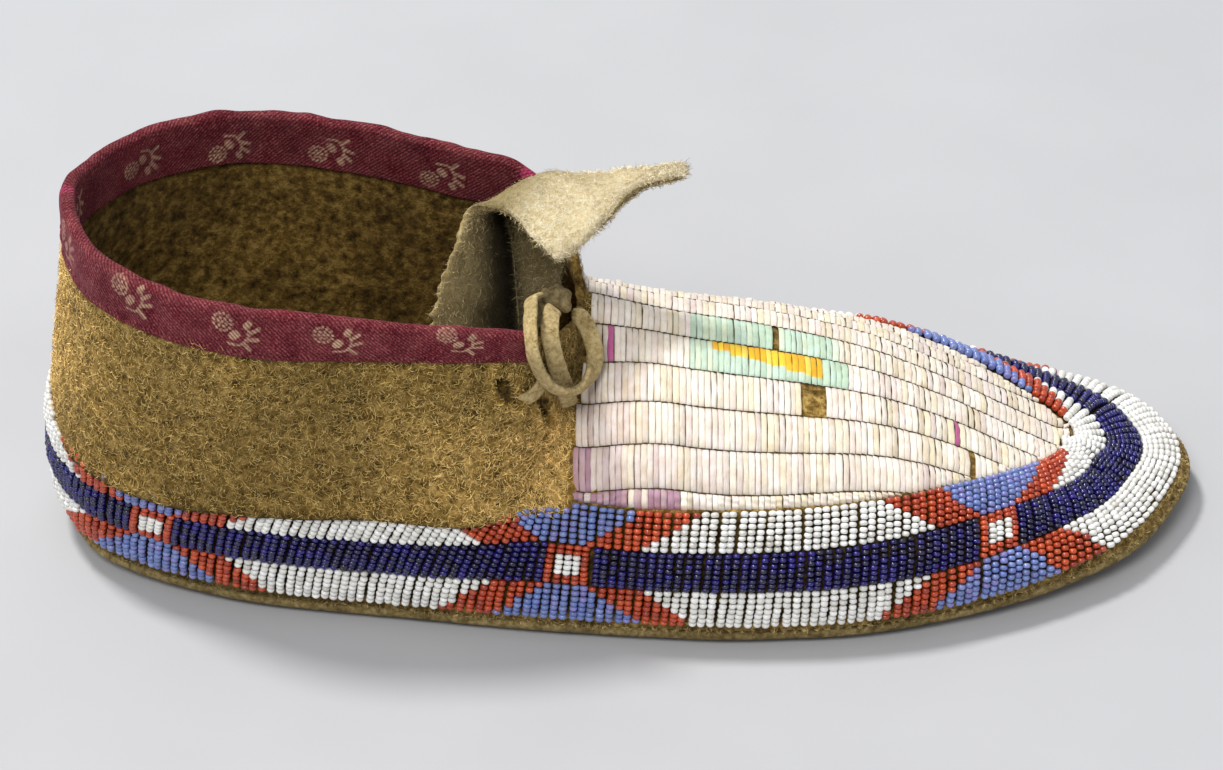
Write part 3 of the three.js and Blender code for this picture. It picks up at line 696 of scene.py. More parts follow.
def make_outer_face(side, name):
    """The leather seen from outside, with its hanging edge, slits and nap."""
    h = stations_for_leather()
    low = np.linspace(0, 1, 14)[:-1]
    high = np.linspace(0, 1, 92)
    hh = h[:, None]
    top = height(h, side)[:, None]
    waver = noise(np.stack([h * 300, h * 0, h * 0 + side], -1), 9)[:, None]
    hang = flap_edge(h)[:, None] + 0.5 * waver
    hang = np.minimum(hang, top - 4)
    depth = flap_depth(h)[:, None]
    below = low * hang
    wall = np.repeat(hang, 3, 1)
    above = hang + (top - hang) * high**1.05
    arcs = np.concatenate([below, wall, above], 1)
    fall = np.exp(-np.clip(above - hang, 0, None) / 7.0)
    lift_low = np.zeros_like(below)
    lift_wall = depth * np.array([0.15, 0.55, 0.85])[None]
    lift_high = depth * np.where(above - hang < 1.5, 1 - 0.08 * (1 - (above - hang) / 1.5), 1) * fall
    lift = np.concatenate([lift_low, lift_wall, lift_high], 1)
    points, normals = skin(np.broadcast_to(hh, arcs.shape), side, arcs, lift)
    # The hanging edge rolls down a little over the beads.
    roll = np.concatenate([lift_low, lift_wall / np.maximum(depth, 0.3) * 0.9,
                           0.9 * np.exp(-np.clip(above - hang, 0, None) / 0.8)], 1)
    points = points - UP * (roll * (depth > 0.5))[..., None]
    visible = smooth((arcs - hang + 1.0) / 1.5)
    cuff = cuff_depth(hh, side)
    under_cuff = smooth((top - arcs - cuff + 1.0) / 1.0) * (hh < CUFF_STATION) + (hh >= CUFF_STATION)
    amount = 0.38 * np.maximum(visible, 1 - smooth((arcs - BARE_MARGIN) / 0.4))
    amount = amount * (0.25 + 0.75 * under_cuff) * (1 - 0.8 * smooth((hh - 0.5) / 0.05))
    folds = 0.55 * noise(points, (26, 26, 16), 4) * visible * (hh < 0.46)
    points = napped(points + normals * folds[..., None], normals, amount, 1.0, 0)
    deep, rim = slit_field(points)
    gathers = np.exp(-np.linalg.norm((points - GATHERS) / (9, 9, 8), axis=-1)**2)
    creases = noise(points @ np.array([[1.0, 0, 0.35], [0, 1, 0], [0.5, 0, 1]]), (2.6, 9, 7.0), 7)
    open_air = smooth((top - arcs - cuff + 0.5) / 2.5)
    points = points - normals * ((3.0 * deep - 0.8 * rim - 1.2 * gathers * creases) * open_air)[..., None]
    flat_h = np.broadcast_to(hh, arcs.shape)
    tint = leather_tint(points, flat_h, arcs, top, deep, rim)
    margin = 1 - smooth((arcs - BARE_MARGIN + 0.4) / 0.5)
    covered = (1 - visible) * (1 - margin) * (1 - smooth((arcs - BEAD_EDGE) / 0.4))
    # Painted shade: the leather under the beads is darkened by 0.72, and a band along the hanging edge by
    # 0.35.
    dark = (1 - 0.72 * covered) * (1 - 0.2 * margin)
    dark = dark * (1 - 0.35 * np.exp(-((arcs - hang) / 1.3)**2) * (depth > 0.5))
    obj = piece(f"{name}_leather", points, grid_faces(*arcs.shape, flip=side > 0), smoked,
                tint=tint * dark[..., None] * (1 - margin[..., None] * np.array([0.10, 0.05, -0.10])))
    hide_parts("leather_upper")
    behind_panel = (hh < PANEL_STATION) | (top - arcs < 6) & (hh < 0.51)
    below_cuff = (top - arcs > cuff - 1.0) | (hh > CUFF_STATION)
    bare = (arcs > hang + 0.2) & behind_panel & below_cuff & (deep < 0.05)
    spacing = np.gradient(flat_h, axis=0)
    weight = bare * spacing * np.gradient(arcs, axis=1)
    fibres(f"{name}_nap", points, normals, weight, tint, NAP_FIBRES, (0.9, 2.5), 31 + side)
    fibres(f"{name}_margin_nap", points, normals, (arcs < BARE_MARGIN) * spacing,
           tint * np.array([0.66, 0.70, 0.80]), MARGIN_FIBRES, (0.6, 1.4), 51 + side)


def make_lining(side, name):
    """The inner face, one leather's thickness in."""
    hs = np.concatenate([np.linspace(0, 0.5, 140), np.linspace(0.5, 1, 60)[1:]])[:, None]
    tops = height(hs[:, 0], side)[:, None]
    inner_arcs = np.linspace(0, 1, 50)[None] * tops
    points, normals = skin(np.broadcast_to(hs, inner_arcs.shape), side, inner_arcs, -LEATHER)
    points = napped(points, -normals, 0.15, 1.2, 3)
    obj = piece(f"{name}_lining_face", points, grid_faces(*inner_arcs.shape, flip=side < 0), smoked,
                tint=plain_tint(points, 0.7, 0.95) * INSIDE_TINT)
    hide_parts("leather_upper")


def make_cut_edge(side, name):
    """The rounded bare edge of the opening, in front of the bindings."""
    he = np.linspace(0.36, 0.5, 120)[:, None]
    turn = np.linspace(0, math.pi, 9)[None]
    tops = np.broadcast_to(height(he[:, 0], side)[:, None], (120, 9))
    hb = np.broadcast_to(he, tops.shape)
    centre, normals = skin(hb, side, tops, -LEATHER / 2)
    below_top, _ = skin(hb, side, tops - 1.0, -LEATHER / 2)
    rise = unit(centre - below_top)
    points = (centre + normals * (np.cos(turn) * LEATHER / 2)[..., None]
              + rise * (np.sin(turn) * LEATHER / 2 * 0.9)[..., None])
    points = napped(points, normals * np.cos(turn)[..., None] + rise * np.sin(turn)[..., None],
                    0.25, 0.8, 1)
    obj = piece(f"{name}_cut_edge", points, grid_faces(120, 9, flip=side > 0), smoked,
                tint=plain_tint(points, 0.9, 1.35, 4))
    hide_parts("leather_upper")


for side, name in ((OUTER, "outer"), (INNER, "inner")):
    make_outer_face(side, name)
    make_lining(side, name)
    make_cut_edge(side, name)

# ---- The rawhide sole ----
rawhide = suede("rawhide", (96, 80, 48), (142, 124, 80), (176, 158, 112), 1.6)


def make_sole():
    profile = np.array([(0.75, 3.45), (0.1, 3.5), (-0.25, 3.1), (-0.3, 2.4), (0.0, 1.7), (0.9, 0.95),
                        (2.4, 0.42), (4.2, 0.14), (6.5, 0.0)])
    h = np.linspace(0, 1, 260)
    rows = []
    for side in (OUTER, INNER):
        foot, out = edge(h, side), outward(h, side)
        z = rocker(foot[:, 0])
        wobble = 0.25 * noise(np.column_stack([foot, z]), 11, 3)
        place = [np.column_stack([foot - out * (inset + wobble[:, None]), z + above])
                 for inset, above in profile]
        rows.append(np.stack(place, 1))
    ring = np.concatenate([rows[0], rows[1][::-1][1:-1]], 0)
    normals = grid_normals(ring)
    ring = napped(ring, normals, 0.10, 1.2, 5)
    ring[:, -1, 2] = np.maximum(ring[:, -1, 2], rocker(ring[:, -1, 0]))
    ring[..., 2] = np.maximum(ring[..., 2], 0)
    count, wide = ring.shape[:2]
    faces = list(grid_faces(count, wide, closed=True, flip=True))
    middle = ring[:, -1].mean(0)
    inward = np.linspace(0, 1, 12)[1:]
    bottom = ring[:, -1][:, None] * (1 - inward[None, :, None]) + middle * inward[None, :, None]
    bottom[..., 2] = rocker(bottom[..., 0])
    inner_top = ring[:, 0][:, None] * (1 - inward[None, :, None]) + middle * inward[None, :, None]
    inner_top[..., 2] = rocker(inner_top[..., 0]) + SOLE_THICKNESS
    points = np.concatenate([ring.reshape(-1, 3), bottom.reshape(-1, 3), inner_top.reshape(-1, 3)])
    base = count * wide
    for i in range(count):
        k = (i + 1) % count
        faces.append([i * wide + wide - 1, k * wide + wide - 1, base + k * 11, base + i * 11][::-1])
        top = base + count * 11
        faces.append([i * wide, k * wide, top + k * 11, top + i * 11])
    faces += list(grid_faces(count, 11, closed=True, flip=True, start=base))
    faces += list(grid_faces(count, 11, closed=True, start=base + count * 11))
    tint = plain_tint(points, 0.8, 1.15, 12, 4)
    obj = piece("rawhide_sole_skin", points, faces, rawhide, tint=tint)
    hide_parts("rawhide_sole")


make_sole()

# ---- The bead border ----
bead_glass = Surface("bead_glass", Roughness=0.2, Coat_Weight=0.5, Coat_Roughness=0.08)
bead_glass.colour(bead_glass.mix(bead_glass.tint(), bead_glass.ramp(
    bead_glass.noise(2.6, 2), (0.3, (225, 222, 215)), (0.7, (255, 255, 255))), 0.6, "MULTIPLY"))
bead_glass.rough(bead_glass.ramp(bead_glass.noise(1.2, 2), (0.35, 0.14), (0.75, 0.42)))
bead_glass.bump(bead_glass.noise(0.5, 2), 0.03)
BEAD_COLOURS = {
    "white": [(242, 242, 238), (232, 231, 226), (248, 247, 244), (222, 220, 213), (237, 236, 234)],
    "red": [(190, 68, 28), (172, 56, 22), (204, 80, 36), (150, 48, 24), (182, 74, 40)],
    "blue": [(112, 132, 192), (100, 118, 182), (128, 144, 200), (130, 128, 190), (108, 124, 174)],
    "navy": [(22, 16, 98), (16, 12, 74), (32, 22, 116), (14, 10, 48), (36, 34, 64)],
}
BEAD_RADIUS, BEAD_LENGTH, COLUMN_PITCH = 0.97, 1.30, 2.08
ROW_SPAN, ROW_HUMP = 9.0, 0.62
HALF_ROUND = 290.0  # about half the way round the shoe, in millimetres
LANES = [("lower", 7), ("middle", 8), ("upper", 7)]


def bead_shape(around=10):
    profile = [(0.30, -0.47), (0.62, -0.46), (0.88, -0.31), (1.0, 0.0), (0.88, 0.31), (0.62, 0.46),
               (0.30, 0.47)]
    turn = np.arange(around) / around * 2 * math.pi
    points = [(r * math.cos(t), r * math.sin(t), z) for r, z in profile for t in turn]
    faces = []
    for i in range(len(profile) - 1):
        for j in range(around):
            k = (j + 1) % around
            faces.append([i * around + j, i * around + k, (i + 1) * around + k, (i + 1) * around + j])
    points += [(0, 0, -0.36), (0, 0, 0.36)]
    base = len(profile) * around
    for j in range(around):
        k = (j + 1) % around
        faces.append([base, k, j])
        faces.append([base + 1, base - around + j, base - around + k])
    return np.array(points), faces


def pick(kind, random):
    choices = linear(BEAD_COLOURS[kind])
    share = random.rand()
    a, b = choices[random.randint(len(choices))], choices[random.randint(len(choices))]
    return (a * share + b * (1 - share)) * random.normal(1, 0.05)


def bead_kind(lane, column, row, plain):
    """Colour of a bead: column counted from the motif's middle, row from the navy lane."""
    c = abs(column)
    if lane == 1:
        if plain or c > 2.5:
            return "navy"
        return "red" if c > 1.5 or row < 2 or row > 5 else "white"
    if plain:
        return "white"
    upper, lower = (2.7 + 0.85 * row, 8.6 + 0.9 * row), (2.5 + 0.9 * row, 8.5 + 0.9 * row)
    blue, red = upper if lane == 2 else lower
    return "blue" if c < blue else "red" if c < red else "white"


def ring_places(arc):
    """Places round the shoe one column apart, and a reader of the distance along the ring."""
    ring = np.linspace(0, 2, 4001)
    reach = run(ring_skin(ring, arc)[0])
    count = int(round(reach[-1] / COLUMN_PITCH))
    at = (np.arange(count) + 0.5) / count * reach[-1]
    return np.interp(at, reach, ring), at, lambda place: np.interp(place, ring, reach)


def make_beads():
    shape, shape_faces = bead_shape()
    random = np.random.RandomState(11)
    for lane, (name, count) in enumerate(LANES):
        low = BARE_MARGIN + lane * LANE_WIDTH
        ring, at, reach = ring_places(low + LANE_WIDTH / 2)
        pitch = ROW_SPAN / count
        nodes = {}
        for place, distance in zip(ring, at):
            gaps = [abs(place - m) for m in MOTIFS]
            i = int(np.argmin(gaps))
            inside = gaps[i] <= MOTIF_HALF
            if inside:
                node = f"{name}_lane_motif_{i + 1}"
            else:
                before = [k for k, m in enumerate(MOTIFS) if m < place]
                node = f"{name}_lane_field_{before[-1] + 1 if before else 6}"
            offset = (distance - reach(MOTIFS[i])) / COLUMN_PITCH
            far = gaps[i] > 0.11
            nodes.setdefault(node, []).append((place, offset, far))
        for node, columns in nodes.items():
            places, arcs, aboves, tints, sizes = [], [], [], [], []
            for place, offset, far in columns:
                lean = 0.10 * random.normal(0, 1) + (0.9 if place < 0.6 else 0.35 if place < 1 else -0.4)
                jump, shift = random.normal(0, 0.07), random.normal(0, 0.12)
                station = float(station_of(place, OUTER) if place <= 1 else station_of(2 - place, INNER))
                for k in range(count):
                    t = (k + 0.5) / count
                    row = k if lane != 0 else count - 1 - k
                    arc = low + 0.1 + (k + 0.5) * pitch + random.normal(0, 0.05)
                    if flap_depth(station) > 1 and arc > flap_edge(station) + 0.9:
                        continue
                    places.append((place, shift + (t - 0.5) * lean + random.normal(0, 0.05)))
                    arcs.append(arc)
                    aboves.append(0.22 + BEAD_RADIUS + ROW_HUMP * math.sin(math.pi * t)**0.8 - 0.1
                                  + jump + random.normal(0, 0.06))
                    tints.append(pick(bead_kind(lane, offset, row, far), random))
                    sizes.append((random.normal(1, 0.035), random.normal(1, 0.05)))
            places = np.array(places)
            arcs, aboves, sizes = np.array(arcs), np.array(aboves), np.array(sizes)
            share = places[:, 0] + places[:, 1] / HALF_ROUND
            centre, normal = ring_skin(share, arcs, aboves)
            hump = ROW_HUMP * math.pi / ROW_SPAN * np.cos(math.pi * (arcs - low) / LANE_WIDTH)
            higher, _ = ring_skin(share, arcs + 0.6, aboves + hump * 0.6)
            axis = unit(higher - centre + normal * random.normal(0, 0.05, (len(centre), 1)))
            sideways = unit(np.cross(axis, normal))
            axis = unit(axis + sideways * random.normal(0, 0.07, (len(centre), 1)))
            sideways = unit(np.cross(axis, normal))
            outer = np.cross(sideways, axis)
            radius = BEAD_RADIUS * sizes[:, :1]
            long = BEAD_LENGTH * 0.98 * sizes[:, 1:] * (7 / count)
            points = (centre[:, None]
                      + sideways[:, None] * (shape[None, :, :1] * radius[:, None])
                      + outer[:, None] * (shape[None, :, 1:2] * radius[:, None] * 0.96)
                      + axis[:, None] * (shape[None, :, 2:] * long[:, None]))
            faces = []
            for b in range(len(centre)):
                faces += [[k + b * len(shape) for k in face] for face in shape_faces]
            tint = np.repeat(np.array(tints)[:, None], len(shape), 1)
            obj = piece(f"{node}_beads", points, faces, bead_glass.material, tint=tint)
            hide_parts(node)


make_beads()

# ---- The quilled panel ----
quill_wax = Surface("quills", Roughness=0.5, Sheen_Weight=0.1)
streak = quill_wax.noise(1, 3, quill_wax.stretched((9.0, 0.6, 0.6)))
stain = quill_wax.ramp(quill_wax.noise(3.2, 4), (0.3, (238, 228, 214)), (0.6, (255, 255, 255)))
quill_wax.colour(quill_wax.mix(
    quill_wax.mix(quill_wax.tint(), stain, 0.8, "MULTIPLY"),
    quill_wax.ramp(streak, (0.3, (232, 224, 210)), (0.6, (255, 255, 255))), 0.6, "MULTIPLY"))
quill_wax.rough(quill_wax.ramp(streak, (0.3, 0.62), (0.7, 0.36)))
quill_wax.bump(streak, 0.12, quill_wax.bump(quill_wax.noise(2.0, 3), 0.15))
LANE_STARTS = {-5: -11.4, -4: -11.2, -3: -10.6, -2: -9.2, -1: -6.2, 0: -7.4, 1: -9.5, 2: -11.5, 3: -12,
               4: -12}
QUILL_PITCH = 1.4


def panel_lane_width(x):
    return 10 + (7.6 - 10) * smooth((x - 20) / 66)


class Panel:
    """The instep's surface, read by x and by the distance across from the ridge (outer side below 0)."""

    def __init__(self):
        self.x = np.linspace(-14, 108, 245)
        self.s = np.linspace(-52, 52, 417)
        self.place = np.full((len(self.x), len(self.s), 3), np.nan)
        self.arc = np.full((len(self.x), len(self.s)), -1.0)
        ridge_length = {}
        order = [i for i, x in enumerate(self.x) if x >= THROAT_X] + [
            i for i, x in enumerate(self.x) if x < THROAT_X][::-1]
        for i in order:
            x = self.x[i]
            for side in (OUTER, INNER):
                table, total = SKIN[side], HEIGHT[side]
                rows, arcs = [], []
                for j in range(0, ARCS, 2):
                    xs = np.maximum.accumulate(table[:, j, 0])
                    if xs[-1] < x:
                        continue
                    h = np.interp(x, xs, np.linspace(0, 1, STATIONS))
                    rows.append(look(table, np.array([h]), np.array([j / (ARCS - 1)]))[0])
                    arcs.append(j / (ARCS - 1) * np.interp(h, np.linspace(0, 1, STATIONS), total))
                rows, arcs = np.array(rows), np.array(arcs)
                length = run(rows)
                if x >= THROAT_X:
                    ridge_length.setdefault(side, length[-1])
                down = (length[-1] if x >= THROAT_X else ridge_length[side]) - length
                here = self.s * side >= 0
                at = np.abs(self.s[here])
                for k in range(3):
                    self.place[i, here, k] = np.interp(at, down[::-1], rows[::-1, k])
                self.arc[i, here] = np.interp(at, down[::-1], arcs[::-1])
        self.normal = unit(np.cross(np.gradient(self.place, axis=0), np.gradient(self.place, axis=1)))

    def shares(self, x, s):
        return ((x - self.x[0]) / (self.x[-1] - self.x[0]), (s - self.s[0]) / (self.s[-1] - self.s[0]))

    def at(self, x, s, above):
        a, b = self.shares(x, s)
        normal = unit(look(self.normal, a, b))
        return look(self.place, a, b) + normal * np.asarray(above)[..., None]

    def reach(self, x, side):
        """Distance across from the ridge at which the bead border cuts the panel."""
        s = np.linspace(0, 50, 400) * side
        a, b = self.shares(np.full(400, x), s)
        arc = look(self.arc[..., None], a, b)[:, 0]
        out = np.nonzero(arc < BEAD_EDGE + 0.25)[0]
        return 50.0 if not len(out) else abs(s[out[0]])


CREAM = [(249, 240, 224), (244, 234, 214), (253, 247, 235), (243, 232, 204), (248, 236, 228),
         (251, 243, 229)]
LILAC = [(222, 202, 200), (208, 184, 188), (228, 212, 210)]
PURPLE = [(196, 158, 172), (180, 140, 158), (206, 176, 184)]
GREEN = [(206, 232, 212), (196, 224, 200), (222, 240, 214), (202, 228, 210)]
YELLOW = [(254, 214, 44), (250, 196, 14), (255, 226, 90), (246, 184, 10)]
YELLOW_BAR = [0.34, 0.44, 0.56, 0.62, 0.70, 0.76]
MAGENTA = (196, 96, 150)
GAPS = [(-2, 41.2, 46.9), (-2, 53.4, 53.9), (0, 34.8, 36.2), (-3, 78.8, 80.4)]
MAGENTA_QUILLS = [(-1, -1.6), (-2, 76.6)]


def quill_colour(lane, x, t, random, base):
    """Colours down a quill, t from 0 at its end nearer the ridge to 1."""
    colour = np.repeat(base[None], len(t), 0)
    green = linear(GREEN[random.randint(len(GREEN))])
    if lane == 0 and 15.5 < x < 49.5:
        colour[:] = green
    if lane == -1 and 15.5 < x < 51.0:
        colour[:] = green
        if 20.8 < x < 45.8:
            bar = YELLOW_BAR[int((x - 20.8) / 4.2)]
            yellow = linear(YELLOW[random.randint(len(YELLOW))])
            colour[t < bar] = yellow
    for k, place in MAGENTA_QUILLS:
        if lane == k and abs(x - place) < QUILL_PITCH / 2:
            colour[:] = linear(MAGENTA)
    return colour


def make_quills():
    panel = Panel()
    random = np.random.RandomState(23)
    along_count, across_count = 17, 7
    t = np.linspace(0, 1, along_count)
    a = np.linspace(-1, 1, across_count)
    for lane in range(-5, 5):
        side = OUTER if lane < 0 else INNER
        blocks, tints = [], []
        x = LANE_STARTS[lane] + 0.7
        while x < 106:
            width = QUILL_PITCH * random.normal(1, 0.07)
            middle = x + width / 2
            x += width
            lane_width = panel_lane_width(middle)
            if lane == 0:
                near, far = -lane_width / 2, lane_width / 2
                near, far = max(near, -panel.reach(middle, OUTER)), min(far, panel.reach(middle, INNER))
            else:
                near = (abs(lane) - 0.5) * lane_width
                far = min((abs(lane) + 0.5) * lane_width, panel.reach(middle, side))
            if far - near < 0.9:
                if middle > 40:
                    break
                continue
            if any(lane == k and lo < middle < hi for k, lo, hi in GAPS):
                continue
            ends = np.array([near + 0.07 + abs(random.normal(0, 0.08)),
                             far - 0.07 - abs(random.normal(0, 0.08))])
            s = ends[0] + (ends[1] - ends[0]) * t
            s = s if lane == 0 else s * side
            wobble = random.normal(0, 0.10) + random.normal(0, 0.12) * (t - 0.5)
            skew = 0.10 * np.sin(math.pi * t) * random.normal(0, 1)
            tall = random.normal(0.62, 0.09)
            arch = 1 - np.abs(2 * t - 1)**3.2
            puff = 1 + 0.18 * np.sin(t * math.pi * random.choice([2, 3, 4]) + random.rand() * 6)
            tilt = random.normal(0, 0.10)
            half = width / 2 * (1 - 0.05 * (1 - arch))
            xs = middle + wobble[:, None] * 0.4 + skew[:, None] * 0.5 + a[None] * half[:, None]
            above = ((0.12 + tall * arch * puff)[:, None]
                     - 0.20 * np.abs(a[None])**5 * (0.4 + 0.6 * arch[:, None]))
            above = above + tilt * a[None] + 0.25
            ss = np.broadcast_to(s[:, None], xs.shape)
            blocks.append(panel.at(xs, ss, above))
            patch = noise(np.array([[middle, lane * 10.0, 0.0]]), 12, 2)[0]
            rear = smooth((24 - middle) / 34) * (0.10 + 0.13 * max(0, -lane - 1))
            chance = 0.07 + rear + 0.16 * patch
            palette = CREAM
            if lane == -5 and middle < 14 and random.rand() < 0.75 or lane == -4 and middle < -6:
                palette = PURPLE
            base = linear(palette[random.randint(len(palette))]) * random.normal(1.02, 0.03)
            if palette is CREAM:
                share = np.clip(chance * 1.1 + random.normal(0, 0.13), 0, 0.85)
                base = base * (1 - share) + linear(LILAC[random.randint(len(LILAC))]) * share
            colour = quill_colour(lane, middle, t, random, base)
            # Painted shade: each quill darkens towards its long edges, in the grooves between quills, and at
            # its folded ends.
            shade = 1 - 0.24 * np.abs(a)**8
            fold_shade = 1 - 0.25 * np.exp(-np.minimum(t, 1 - t) * (far - near) / 0.3)
            colour = colour[:, None] * shade[None, :, None] * fold_shade[:, None, None]
            tints.append(colour)
        quads = np.concatenate([grid_faces(along_count, across_count, start=k * along_count * across_count)
                                for k in range(len(blocks))])
        obj = piece(f"quills_{lane + 6}", np.array(blocks), quads[:, ::-1] if side > 0 else quads,
                    quill_wax.material, tint=np.array(tints))
        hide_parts(f"quill_lane_{lane + 6}")
        # The dark thread that holds the folded ends, in short stitches along the lane's edge.
        if lane > -5:
            stitch_line(panel, lane)


sinew_dark = suede("sinew_dark", (52, 38, 24), (84, 62, 40), (120, 96, 66), 0.8)


def stitch_line(panel, lane):
    """A row of thread stitches on the edge between this lane and the one nearer the outer side."""
    random = np.random.RandomState(40 + lane)
    x = np.arange(max(LANE_STARTS[lane], LANE_STARTS[lane - 1]) + 0.8, 104, 0.35)
    side = OUTER if lane <= 0 else INNER
    order = (abs(lane) + 0.5) if lane <= 0 else (lane - 0.5)
    s = order * panel_lane_width(x)
    reach = np.array([panel.reach(v, side) for v in x])
    keep = s < reach - 0.6
    if keep.sum() < 8:
        return
    x, s = x[keep], s[keep] * side
    s = s + 0.12 * noise(np.column_stack([x, s * 0, s * 0 + lane]), 4, 1)
    above = 0.40 + 0.12 * np.sin(x * 2 * math.pi / 1.4 + random.rand())
    line = panel.at(x, s, above)
    forward = unit(np.gradient(line, axis=0))
    across = unit(np.cross(forward, panel.at(x, s, above + 1) - line))
    over = np.cross(across, forward)
    turn = np.arange(5) / 5 * 2 * math.pi
    points = (line[:, None] + across[:, None] * (np.cos(turn) * 0.09)[None, :, None]
              + over[:, None] * (np.sin(turn) * 0.09)[None, :, None])
    obj = piece(f"quill_thread_{lane + 6}", points, tube_faces(len(x), len(turn)), sinew_dark,
                tint=plain_tint(points, 0.6, 1.2, 3))


make_quills()

# ---- The cloth bindings ----
calico = Surface("calico", Roughness=0.95, Specular_IOR_Level=0.12, Sheen_Weight=0.12, Sheen_Roughness=0.5,
                 Sheen_Tint=(0.8, 0.3, 0.4, 1))
cloth_place = calico.node("ShaderNodeUVMap", uv_map="cloth").outputs["UV"]
twill = calico.node("ShaderNodeTexWave", wave_type="BANDS", bands_direction="DIAGONAL")
twill.inputs["Scale"].default_value = 30
twill.inputs["Distortion"].default_value = 0.6
twill.inputs["Detail"].default_value = 1
calico.link(calico.stretched((20, 20, 20), cloth_place), twill.inputs["Vector"])
fade = calico.ramp(calico.noise(7, 5, rough=0.65), (0.32, (170, 150, 166)), (0.68, (255, 250, 248)))
weave = calico.ramp(twill.outputs["Fac"], (0.2, (178, 160, 160)), (0.7, (255, 250, 250)))
lint = calico.noise(0.45, 2)
faded = calico.mix(calico.tint(), (176, 106, 104),
                   calico.ramp(calico.noise(5, 4), (0.36, 0.04), (0.68, 0.42)))
flecked = calico.mix(faded, (196, 132, 130), calico.ramp(lint, (0.50, 0.0), (0.72, 0.45)))
calico.colour(calico.mix(
    calico.mix(calico.mix(flecked, fade, 0.6, "MULTIPLY"), weave, 0.9, "MULTIPLY"),
    calico.ramp(lint, (0.32, (150, 140, 142)), (0.6, (255, 255, 255))), 0.7, "MULTIPLY"))
calico.bump(twill.outputs["Fac"], 0.07, calico.bump(lint, 0.12, calico.bump(calico.noise(2.2, 4), 0.35)))
MAROON, SPRIG = linear((126, 36, 50)), linear((244, 218, 176))


def capsule(p, a, b, width):
    a, b = np.asarray(a, float), np.asarray(b, float)
    d = b - a
    k = np.clip(((p - a) @ d) / (d @ d), 0, 1)
    return np.linalg.norm(p - a - k[..., None] * d, axis=-1) - width


def sprig(p):
    """Signed distance, mm, to a printed sprig: a dotted flower, a bud and a leafy stem."""
    best = np.full(p.shape[:-1], 9.0)
    for k in range(19):
        ring = 0 if k == 0 else 1 if k < 7 else 2
        turn = (k - (1 if ring == 1 else 7)) / (6 if ring == 1 else 12) * 2 * math.pi
        centre = np.array([-3.4, 2.2]) + ring * 0.78 * np.array([math.cos(turn), math.sin(turn)])
        best = np.minimum(best, np.linalg.norm(p - centre, axis=-1) - 0.30)
    best = np.minimum(best, capsule(p, (-1.3, 0.1), (-0.9, 0.6), 0.75))
    best = np.minimum(best, capsule(p, (0.6, 2.6), (1.0, 3.2), 0.55))
    stem = spline([(0.6, 2.9), (1.2, 1.6), (1.1, 0.1), (0.0, -1.4), (-1.9, -1.5)], 14)
    for a, b in zip(stem[:-1], stem[1:]):
        best = np.minimum(best, capsule(p, a, b, 0.20))
    for a, b in (((1.2, 1.3), (2.6, 2.4)), ((1.1, 0.0), (2.8, 0.5)), ((0.6, -0.8), (1.8, -2.0))):
        best = np.minimum(best, capsule(p, a, b, 0.34))
    return best


def print_cloth(u, w, seed):
    """Colour of the printed cloth at u along and w across, in millimetres."""
    p = np.stack([u, w], -1)
    colour = np.broadcast_to(MAROON, p.shape[:-1] + (3,)).copy()
    level = 0.86 + 0.22 * noise(np.stack([u, w, u * 0], -1), 14, seed)
    colour *= level[..., None]
    random = np.random.RandomState(seed)
    share = np.zeros(p.shape[:-1])
    for k in range(-1, 12):
        for row, shift in ((5.4, 0.0), (20.5, 12.0)):
            centre = np.array([k * 24.5 + 16 + shift + random.normal(0, 1.0), row + random.normal(0, 0.5)])
            lean = random.normal(0, 0.12)
            turn = np.array([[math.cos(lean), -math.sin(lean)], [math.sin(lean), math.cos(lean)]])
            near = np.abs(u - centre[0]) < 11
            local = (p[near] - centre) @ turn / 1.3
            share[near] = np.maximum(share[near], 1 - smooth((sprig(local) + 0.08) / 0.18))
    worn = 0.82 + 0.18 * noise(np.stack([u, w, u * 0 + 4], -1), 1.5, seed + 1)
    share = (share * worn)[..., None]
    return colour * (1 - share) + SPRIG * share


